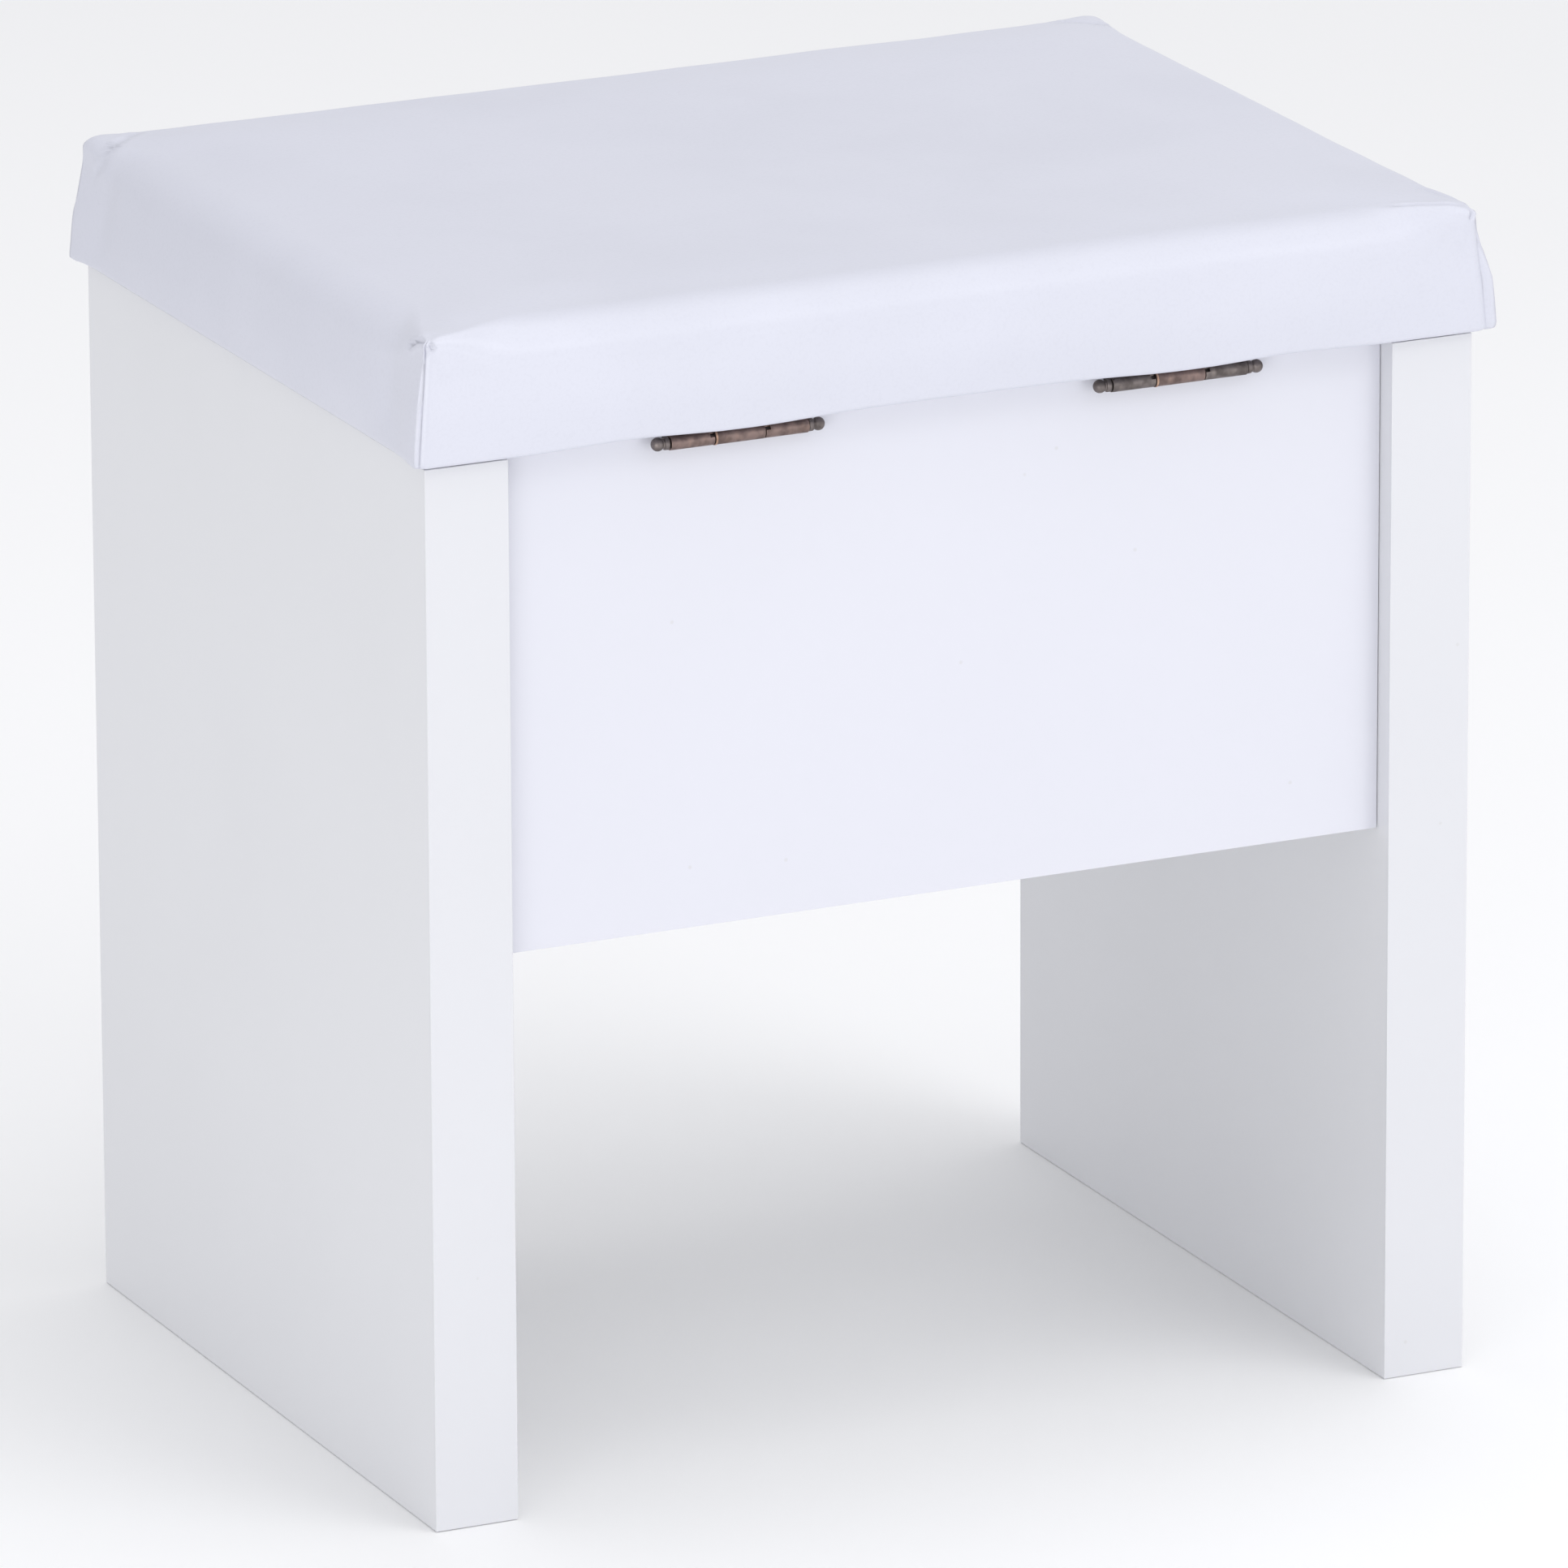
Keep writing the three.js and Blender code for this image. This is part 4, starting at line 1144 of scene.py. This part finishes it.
def countersink(x, y, outer_z, up):
    """A cone and shaft to cut a screw hole through a leaf. `up` points out of the screw's head."""
    profile = [(-2 * MM, 0), (-2 * MM, 1.55 * MM), (-0.9 * MM, 1.55 * MM), (0.1 * MM, 2.85 * MM)]
    profile += [(1 * MM, 2.85 * MM), (1 * MM, 0)]
    shape = turned(profile, 32)
    turn = Matrix.Rotation(-math.pi / 2 * up, 4, "Y")
    bmesh.ops.transform(
        shape, matrix=Matrix.Translation((x, y, outer_z)) @ turn, verts=shape.verts
    )
    return new_object("countersink", mesh_from_bmesh("countersink", shape))


def make_leaf(side, kind, centre_x, hole_xs, hole_y):
    """One leaf with its knuckles rolled out of it. The body leaf has two, the lid leaf one."""
    up = 1 if kind == "body" else -1
    half = 25 * MM
    inset = 3.2 * MM
    plate_low = (centre_x - half, AXIS_Y - LEAF_REACH, AXIS_Z - up * BARREL_RADIUS)
    plate_high = (centre_x + half, AXIS_Y - inset, AXIS_Z - up * BORE_RADIUS)
    lows = [min(a, b) for a, b in zip(plate_low, plate_high)]
    highs = [max(a, b) for a, b in zip(plate_low, plate_high)]
    name = f"hinge_{kind}_leaf_{side}_plate"
    shape = slab(lows, highs, 1.4 * MM, 2, 4)
    leaf = new_object(name, mesh_from_bmesh(name, shape))
    if kind == "body":
        spans = [(-half, -KNUCKLE_HALF - KNUCKLE_GAP), (KNUCKLE_HALF + KNUCKLE_GAP, half)]
        swell = 0.0
    else:
        spans = [(-KNUCKLE_HALF, KNUCKLE_HALF)]
        swell = 0.06 * MM
    knuckles = [
        extruded("knuckle", roll_outline(swell), centre_x + low, centre_x + high, up)
        for low, high in spans
    ]
    if kind == "lid":
        ring_x = centre_x + KNUCKLE_HALF - RING_WIDTH
        outline = roll_outline(RING_SWELL)
        knuckles.append(extruded("ring", outline, ring_x, centre_x + KNUCKLE_HALF, up))
    leaf = combine(leaf, "UNION", *knuckles)
    outer_z = AXIS_Z - up * BORE_RADIUS
    cutters = [countersink(x, hole_y, outer_z, up) for x in hole_xs]
    if kind == "body":
        for end in (-1, 1):
            near = centre_x + end * (KNUCKLE_HALF + KNUCKLE_GAP - 0.5 * MM)
            far = centre_x + end * (KNUCKLE_HALF + KNUCKLE_GAP + 1.6 * MM)
            notch = slab(
                (min(near, far), AXIS_Y + 0.6 * MM, AXIS_Z + 0.75 * MM),
                (max(near, far), AXIS_Y + 3.5 * MM, AXIS_Z + 2.15 * MM),
            )
            cutters.append(new_object("notch", mesh_from_bmesh("notch", notch)))
    leaf = combine(leaf, "DIFFERENCE", *cutters)
    leaf.name = f"hinge_{kind}_leaf_{side}_rolled"
    paint = copper_bronze if side == "left" or kind == "lid" else dark_bronze
    leaf.data.materials.append(paint)
    leaf.data.materials.append(rubbed_copper)
    # The ring at the lid knuckle's end takes the brighter copper, partly rubbed metal and partly
    # painted highlight.
    for face in leaf.data.polygons:
        middle = face.center
        on_ring = middle.x > centre_x + KNUCKLE_HALF - RING_WIDTH - 0.02 * MM
        out = math.hypot(middle.y - AXIS_Y, middle.z - AXIS_Z)
        rolled = BARREL_RADIUS - 0.05 * MM < out < BARREL_RADIUS + 0.4 * MM
        face.material_index = 1 if kind == "lid" and on_ring and rolled else 0
    soften_edges(leaf, 0.16 * MM, 2, 50)
    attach(leaf, "carcase" if kind == "body" else "lid")
    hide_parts(f"hinge_{kind}_leaf_{side}")


def pin_profile():
    """Half of the pin as (x, radius): shaft, washer-like collar, groove and ball."""
    points = [(0.0, 1.2), (25.3, 1.2), (25.3, 1.85), (25.4, 2.1), (25.7, 2.22), (26.7, 2.22)]
    points += [(27.0, 2.1), (27.1, 1.9), (27.15, 1.72), (27.55, 1.62)]
    ball = 2.3
    centre = 31.45 - ball
    for degrees in range(132, -1, -11):
        angle = math.radians(degrees)
        points.append((centre + ball * math.cos(angle), max(0.0, ball * math.sin(angle))))
    return [(x * MM, radius * MM) for x, radius in points]


def make_pin(side, centre_x):
    half = pin_profile()
    profile = [(-x, radius) for x, radius in reversed(half)] + half[1:]
    shape = turned(profile, 48)
    place = Matrix.Translation((centre_x, AXIS_Y, AXIS_Z))
    bmesh.ops.transform(shape, matrix=place, verts=shape.verts)
    mesh = mesh_from_bmesh(f"hinge_pin_{side}_turned", shape, smooth=True)
    pin = new_object(mesh.name, mesh, dark_bronze)
    smooth_by_angle(mesh, 60)
    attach(pin, "carcase")
    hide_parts(f"hinge_pin_{side}")


def make_hinges():
    for side in ("left", "right"):
        centre = middle_of(f"hinge_pin_{side}")
        for kind in ("body", "lid"):
            prefix = f"hinge_screw_{kind}_{side}_"
            holes = [middle_of(name) for name in nodes if name.startswith(prefix)]
            make_leaf(side, kind, centre.x, [hole.x for hole in holes], holes[0].y)
        make_pin(side, centre.x)


# ---------------------------------------------------------------- cushion

HALF_X = 196.8
HALF_Y = 147.2
UNDER_Z = LID_UNDER_Z / MM + 0.05
TOP_Z = 413.9
PLAN_CORNER = 3.2
TOP_ROUND = 14.0
FAR_ROUND = 8.0
CORNER_ROUND = 3.5
CORNER_SPAN = 30.0
LEAN_X = 3.4
LEAN_Y = 1.5
BOTTOM_ROUND = 1.5
CORNER_DROP = 0.7
SIM_CAP = 1.2
SIM_FRAMES = 20
SIM_PRESSURE = 4
GRIP_DEPTH = 5
SPREAD_REACH = 6.0
SPREAD_BLOCK = 1500
LIP_SAG = 1.0
BELLY = 2.3
CORNER_DIP = 0.9


def graded(half, finest, coarsest, growth):
    """Line positions from -half to half, fine at both ends and coarse in the middle."""
    steps = []
    size = finest
    while sum(steps) + size < half:
        steps.append(size)
        size = min(size * growth, coarsest)
    scale = half / sum(steps)
    ends = [half]
    for step in steps:
        ends.append(ends[-1] - step * scale)
    inner = [value for value in ends if value > 1e-6]
    return [-value for value in inner] + [0.0] + inner[::-1]


def lattice(lines_x, lines_y, lines_z):
    """The outside of a box of lattice lines: vertex places and the quads that close it."""
    counts = [len(lines_x), len(lines_y), len(lines_z)]
    index = {}
    places = []

    def corner(i, j, k):
        key = (i, j, k)
        if key not in index:
            index[key] = len(places)
            places.append((lines_x[i], lines_y[j], lines_z[k]))
        return index[key]

    quads = []
    for axis in range(3):
        across, along = [other for other in range(3) if other != axis]
        for end in (0, counts[axis] - 1):
            for p in range(counts[across] - 1):
                for q in range(counts[along] - 1):
                    ring = []
                    for dp, dq in ((0, 0), (1, 0), (1, 1), (0, 1)):
                        spot = [0, 0, 0]
                        spot[axis], spot[across], spot[along] = end, p + dp, q + dq
                        ring.append(corner(*spot))
                    flip = (end == 0) != (axis == 1)
                    quads.append(ring[::-1] if flip else ring)
    return np.array(places), quads


def cushion_form(places):
    """Bends box points into the cushion's plain form: a top edge that is soft between the corners
    and tight at them, sides that lean in a little, and a slight crown."""
    x, y, t = places.T
    top_start = TOP_Z - TOP_ROUND
    lean = (t - UNDER_Z) / (TOP_Z - UNDER_Z)
    inset = np.zeros(len(places))
    z = t.copy()
    over = t > top_start
    gap = np.hypot(HALF_X - np.abs(x), HALF_Y - np.abs(y))
    rearward = step(0.9, 1.0, np.maximum(x / HALF_X, y / HALF_Y))
    radius = FAR_ROUND + (TOP_ROUND - FAR_ROUND) * rearward
    radius = radius + (CORNER_ROUND - radius) * step(CORNER_SPAN, 3, gap)
    straight = TOP_ROUND - radius
    along = (t - top_start) / TOP_ROUND * (straight + radius * math.pi / 2)
    angle = np.clip((along - straight) / radius, 0, math.pi / 2)
    arc_z = np.where(along < straight, top_start + along, TOP_Z - radius + radius * np.sin(angle))
    z = np.where(over, arc_z, z)
    inset = np.where(over, inset + radius * (1 - np.cos(angle)), inset)
    under = t < UNDER_Z + BOTTOM_ROUND
    angle = (UNDER_Z + BOTTOM_ROUND - t[under]) / BOTTOM_ROUND * math.pi / 2
    z[under] = UNDER_Z + BOTTOM_ROUND - BOTTOM_ROUND * np.sin(angle)
    inset[under] += BOTTOM_ROUND * (1 - np.cos(angle))
    belly = BELLY * np.sin(np.pi * np.clip((t - UNDER_Z) / (TOP_Z - UNDER_Z), 0, 1))
    inset -= belly * (1 - step(2 * CORNER_SPAN, 10, gap))
    scale_x = (HALF_X - inset - LEAN_X * lean) / HALF_X
    scale_y = (HALF_Y - inset - LEAN_Y * lean) / HALF_Y
    x, y = x * scale_x, y * scale_y
    half_x, half_y = HALF_X * scale_x, HALF_Y * scale_y
    u = np.clip((np.abs(x) - (half_x - PLAN_CORNER)) / PLAN_CORNER, 0, 1)
    v = np.clip((np.abs(y) - (half_y - PLAN_CORNER)) / PLAN_CORNER, 0, 1)
    reach = np.hypot(u, v)
    pull = np.where(reach > 1e-9, np.maximum(u, v) / np.maximum(reach, 1e-9), 1.0)
    both = (u > 0) & (v > 0)
    pull = np.where(both, pull, 1.0)
    x = np.where(both, np.sign(x) * (half_x - PLAN_CORNER + u * pull * PLAN_CORNER), x)
    y = np.where(both, np.sign(y) * (half_y - PLAN_CORNER + v * pull * PLAN_CORNER), y)
    crown = (1 - np.abs(x / HALF_X) ** 3) * (1 - np.abs(y / HALF_Y) ** 3)
    rise = 0.3 * crown - CORNER_DROP * step(CORNER_SPAN, 0, gap)
    z = np.where(over, z + rise * step(top_start, TOP_Z, t), z)
    return np.stack([x, y, z], axis=1)


def mesh_of(name, places, quads):
    mesh = bpy.data.meshes.new(name)
    mesh.from_pydata((places * MM).tolist(), [], quads)
    for face in mesh.polygons:
        face.use_smooth = True
    return mesh


def read_places(mesh):
    flat = np.empty(len(mesh.vertices) * 3)
    mesh.vertices.foreach_get("co", flat)
    return flat.reshape(-1, 3) / MM


def read_normals(mesh):
    flat = np.empty(len(mesh.vertices) * 3)
    mesh.vertex_normals.foreach_get("vector", flat)
    return flat.reshape(-1, 3)


def inflate(places, quads):
    """Blows the padding up from inside as cloth, held at the board. Returns how each point moves."""
    mesh = mesh_of("padding_sim", places, quads)
    pad = new_object("padding_sim", mesh)
    held = pad.vertex_groups.new(name="held")
    board_top = BOARD_TOP_Z / MM
    for number, place in enumerate(places):
        grip = min(1.0, max(0.0, (board_top + GRIP_DEPTH - place[2]) / GRIP_DEPTH))
        if grip > 0:
            held.add([number], grip, "REPLACE")
    cloth = pad.modifiers.new("cloth", "CLOTH")
    settings = cloth.settings
    settings.quality = 6
    settings.mass = 0.3
    settings.tension_stiffness = 40
    settings.compression_stiffness = 25
    settings.shear_stiffness = 15
    settings.bending_stiffness = 4
    settings.use_pressure = True
    settings.uniform_pressure_force = SIM_PRESSURE
    settings.effector_weights.gravity = 0
    settings.vertex_group_mass = "held"
    cloth.collision_settings.use_collision = False
    cloth.point_cache.frame_start = 1
    cloth.point_cache.frame_end = SIM_FRAMES
    scene = bpy.context.scene
    for number in range(1, SIM_FRAMES + 1):
        scene.frame_set(number)
    depsgraph = bpy.context.evaluated_depsgraph_get()
    blown = bpy.data.meshes.new_from_object(pad.evaluated_get(depsgraph))
    moved = read_places(blown) - places
    bpy.data.objects.remove(pad)
    bpy.data.meshes.remove(blown)
    scene.frame_set(1)
    length = np.linalg.norm(moved, axis=1, keepdims=True)
    return moved * SIM_CAP * np.tanh(length / SIM_CAP) / np.maximum(length, 1e-9)


def spread(points, anchors, moves, reach):
    """Smoothly carries the anchors' moves over to the points."""
    result = np.empty_like(points)
    for start in range(0, len(points), SPREAD_BLOCK):
        block = points[start : start + SPREAD_BLOCK]
        gap = ((block[:, None, :] - anchors[None, :, :]) ** 2).sum(axis=2)
        weight = np.exp(-gap / (2 * reach * reach)) + 1e-30
        carried = weight @ moves / weight.sum(axis=1, keepdims=True)
        result[start : start + SPREAD_BLOCK] = carried
    return result


def step(low, high, value):
    t = np.clip((value - low) / (high - low), 0, 1)
    return t * t * (3 - 2 * t)


def bell(value, width):
    return np.exp(-((value / width) ** 2))


def path_distance(points, path):
    """Distance from each point to a bent line, and how far along the line (0 to 1) it lies."""
    best = np.full(len(points), 1e9)
    where = np.zeros(len(points))
    lengths = [math.dist(a, b) for a, b in zip(path, path[1:])]
    run = 0.0
    for a, b, length in zip(path, path[1:], lengths):
        a, b = np.array(a, float), np.array(b, float)
        along = np.clip((points - a) @ (b - a) / (length * length), 0, 1)
        gap = np.linalg.norm(points - (a + along[:, None] * (b - a)), axis=1)
        closer = gap < best
        best = np.where(closer, gap, best)
        where = np.where(closer, (run + along * length) / sum(lengths), where)
        run += length
    return best, where


def nearest(points, place):
    """The surface point closest to a place."""
    return points[np.argmin(((points - np.array(place, float)) ** 2).sum(axis=1))]


def crease(points, path, depth, width, lip):
    """Height of a furrow along a path, with a raised lip beside it, fading at both its ends."""
    gap, along = path_distance(points, [nearest(points, place) for place in path])
    fade = step(0, 0.22, along) * step(1, 0.8, along)
    return fade * (-depth * bell(gap, width) + lip * bell(gap - 2.0 * width, width))


def dimple(points, centre, height, width):
    return height * bell(np.linalg.norm(points - nearest(points, centre), axis=1), width)


class Pleat:
    """Sizes of one corner's fold, in millimetres. The flap lies on the narrow side's face."""

    def __init__(self, sign_x, sign_y, flap, reach, groove):
        self.sign_x = sign_x
        self.sign_y = sign_y
        self.flap = flap
        self.reach = reach
        self.groove = groove


PLEATS = [
    Pleat(-1, 1, 3.2, 24, 1.6),
    Pleat(1, 1, 1.3, 24, 1.6),
    Pleat(1, -1, 1.3, 22, 1.3),
    Pleat(-1, -1, 1.8, 22, 1.3),
]
FLAP_FULL = 17.5
FLAP_END = 34.0
FOLD_TOP = 42.0


def pleat_moves(points, normals):
    """Sideways moves that make the four corner folds, each a flap ending in a groove."""
    outward = normals.copy()
    outward[:, 2] = 0
    size = np.linalg.norm(outward, axis=1, keepdims=True)
    outward = outward / np.maximum(size, 1e-6) * np.minimum(1, size * 1.5)
    rise = points[:, 2] - UNDER_Z
    total = np.zeros_like(points)
    for pleat in PLEATS:
        sx, sy = pleat.sign_x, pleat.sign_y
        lean = rise / (TOP_Z - UNDER_Z)
        u = HALF_X - LEAN_X * lean - sx * points[:, 0]
        u = u - (HALF_Y - LEAN_Y * lean - sy * points[:, 1])
        near = step(60, 45, np.abs(u)) * (sx * points[:, 0] > 0) * (sy * points[:, 1] > 0)
        u = u + 0.7 - 0.2 * np.sin(rise * 0.13 + sx) * step(4, 14, rise)
        ramp = np.clip((FLAP_END - rise) / (FLAP_END - FLAP_FULL), 0, 1)
        layer = pleat.flap * ramp * (0.8 + 0.2 * step(0, 3, rise))
        side = step(-pleat.reach, -3.0, u) * step(0.35, -0.25, u)
        valley = bell(u + pleat.reach + 3, 7.0) * step(2, 14, rise) * step(40, 28, rise)
        fold = step(FOLD_TOP + 0.8, FOLD_TOP - 2.5, rise)
        move = layer * side - 0.9 * valley
        move += 0.45 * fold * bell(u + 0.75, 0.5)
        move -= pleat.groove * fold * bell(u + 0.1, 0.4)
        total += outward * (move * near)[:, None]
    return total


def mirrored(path, sign):
    """The path on the left side (sign 1) or its mirror image on the right side (sign -1)."""
    return [(sign * x, y, z) for x, y, z in path]


GATHER_START = (27, 4, 0)
GATHER_TURN = (7.5, 19, 1.5)
GATHER_END = (2, 13, 14)
GATHER_STEPS = 9


def front_gather():
    """The bent furrow over the front left corner: along the top, round the edge and down the side.
    Each place is so far in from the side, so far in from the front and so far below the top."""
    start, turn, end = (
        np.array([HALF_X - in_x, in_y - HALF_Y, TOP_Z - below])
        for in_x, in_y, below in (GATHER_START, GATHER_TURN, GATHER_END)
    )
    pull = 2 * turn - (start + end) / 2
    steps = np.linspace(0, 1, GATHER_STEPS)
    return [(1 - t) ** 2 * start + 2 * t * (1 - t) * pull + t * t * end for t in steps]


def top_details(points):
    """Puckers and creases where the cover is gathered over the top of each corner."""
    height = np.zeros(len(points))
    for sx in (-1, 1):
        streak = [(193.0, 145.0, 412.8), (192.0, 146.0, 411.2), (190.0, 146.6, 408.5)]
        bow = [(193.4, 144.6, 412.8), (193.8, 140.4, 412.2), (194.6, 136.0, 410.5)]
        bow.append((195.2, 131.0, 406.5))
        ridge = [(189.5, 145.6, 410.0), (187.5, 146.0, 405), (186, 146.4, 398)]
        height += crease(points, mirrored(streak, sx), 1.5, 0.7, 0.4)
        height += crease(points, mirrored(bow, sx), 1.4, 0.9, 0.35)
        height -= crease(points, mirrored(ridge, sx), 0.4, 1.8, 0.0)
        height += dimple(points, (sx * 193.4, 145.2, 411.5), 0.7, 1.0)
        height -= dimple(points, (sx * 189.5, 141.0, 413), 0.5, 2.6)
        height += dimple(points, (sx * 185.0, 137.0, 413), 0.3, 4.0)
    edge_fold = [(-165, 135, 413.5), (-174, 136.5, 413.5), (-182, 139.5, 413), (-190, 142.5, 412.5)]
    height += crease(points, edge_fold, 0.7, 0.9, 0.35)
    side_fold = [(-183, 116, 413), (-185, 124, 413), (-187.5, 131, 412.5), (-190, 138, 412)]
    height += crease(points, side_fold, 0.5, 1.2, 0.3)
    for sx in (1, -1):
        height += crease(points, mirrored(front_gather(), sx), 0.85, 1.3, 0.25)
        height += dimple(points, (sx * 187, -138, 413.3), 0.6, 6.0)
    return height


def waves(points, normals):
    """Faint unevenness of hand-pulled leather over foam."""
    height = np.zeros(len(points))
    for number, place in enumerate(points):
        slow = noise.noise(Vector((place[0] * 0.011, place[1] * 0.013, place[2] * 0.02 + 3)))
        quick = noise.noise(Vector((place[0] * 0.045, place[1] * 0.05, place[2] * 0.03 + 9)))
        height[number] = 0.55 * slow + 0.16 * quick
    return height


def edge_lift(points):
    """Raises the middle of the front and rear lower edges a little, and lets the rear one hang
    over the two hinges."""
    x, y, z = points.T
    lift = 0.3 - 1.2 * step(115, 158, np.abs(x))
    for side in ("left", "right"):
        hinge_x = middle_of(f"hinge_pin_{side}").x / MM
        lift = lift - (LIP_SAG + 0.5) * bell(x - hinge_x, 30) * (y > 0)
    between = step(SIDE_INNER_X / MM - 3, SIDE_INNER_X / MM - 16, np.abs(x))
    dipped = np.maximum(lift, -CORNER_DIP)
    lift = np.where(lift < -CORNER_DIP, lift * between + dipped * (1 - between), lift)
    return lift * step(136, 143, np.abs(y)) * step(UNDER_Z + 18, UNDER_Z, z)


def make_cushion():
    """The padded, covered lid: an inflated form with folded corners, as one closed surface."""
    soft_lines = [UNDER_Z + BOTTOM_ROUND * k / 5 for k in range(5)]
    wall = np.linspace(UNDER_Z + BOTTOM_ROUND, TOP_Z - TOP_ROUND, 22)
    arc = np.linspace(TOP_Z - TOP_ROUND, TOP_Z, 22)[1:]
    lines_x = graded(HALF_X, 0.36, 5.5, 1.12)
    lines_y = graded(HALF_Y, 0.36, 5.5, 1.12)
    box, quads = lattice(lines_x, lines_y, soft_lines + list(wall) + list(arc))
    places = cushion_form(box)
    coarse_z = [UNDER_Z, UNDER_Z + BOTTOM_ROUND]
    coarse_z += list(np.linspace(UNDER_Z + BOTTOM_ROUND, TOP_Z - TOP_ROUND, 5)[1:])
    coarse_z += list(np.linspace(TOP_Z - TOP_ROUND, TOP_Z, 5)[1:])
    coarse_x = list(np.linspace(-HALF_X, HALF_X, 61))
    coarse_y = list(np.linspace(-HALF_Y, HALF_Y, 47))
    coarse_box, coarse_quads = lattice(coarse_x, coarse_y, coarse_z)
    coarse = cushion_form(coarse_box)
    moves = inflate(coarse, coarse_quads)
    places = places + spread(places, coarse, moves, SPREAD_REACH)
    plain = mesh_of("plain_cushion", places, quads)
    normals = read_normals(plain)
    bpy.data.meshes.remove(plain)
    lift = edge_lift(places)
    shift = pleat_moves(places, normals)
    high = step(UNDER_Z, UNDER_Z + 6, places[:, 2])
    height = top_details(places) + waves(places, normals) * high
    places = places + shift + normals * height[:, None]
    places[:, 2] += lift
    between = np.abs(places[:, 0]) < SIDE_INNER_X / MM
    behind = places[:, 1] > BODY_HALF_DEPTH / MM
    dip = np.where(between, LIP_SAG, np.where(behind, CORNER_DIP, 0.0))
    lowest = UNDER_Z - dip
    places[:, 2] = np.maximum(places[:, 2], lowest)
    mesh = mesh_of("seat_cushion", places, quads)
    cushion = new_object("seat_cushion", mesh, leather)
    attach(cushion, "lid")
    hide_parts("seat_cover", "seat_foam")


def make_lid_board():
    """Particle board inside the cover, with rounded corners the leather is pulled over."""
    half_x, half_y = (HALF_X - 4) * MM, (HALF_Y - 3) * MM
    low = (-half_x, -half_y, board_low.z + 0.4 * MM)
    high = (half_x, half_y, board_high.z)
    mesh = mesh_from_bmesh("lid_board_core", slab(low, high, PLAN_CORNER * MM, 2, 8))
    board = new_object("lid_board_core", mesh, particle_board)
    soften_edges(board, 1.2 * MM)
    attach(board, "lid")
    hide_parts("lid_board")


# ---------------------------------------------------------------- everything together


def paint_kept_nodes():
    """Gives the fittings that keep their own shape a worked material."""
    for name, node in nodes.items():
        if name.startswith("cam_bolt_"):
            paint = plated_zinc
        elif name.startswith("dowel_"):
            paint = beech
        else:
            continue
        for slot_number in range(len(node.data.materials)):
            node.material_slots[slot_number].material = paint


add_camera()
add_lights()
light_world()
add_floor()
make_boards()
make_hinges()
make_hinge_screws()
make_liner_screws()
make_bumpers()
make_cams()
make_staples()
make_lid_board()
make_cushion()
paint_kept_nodes()
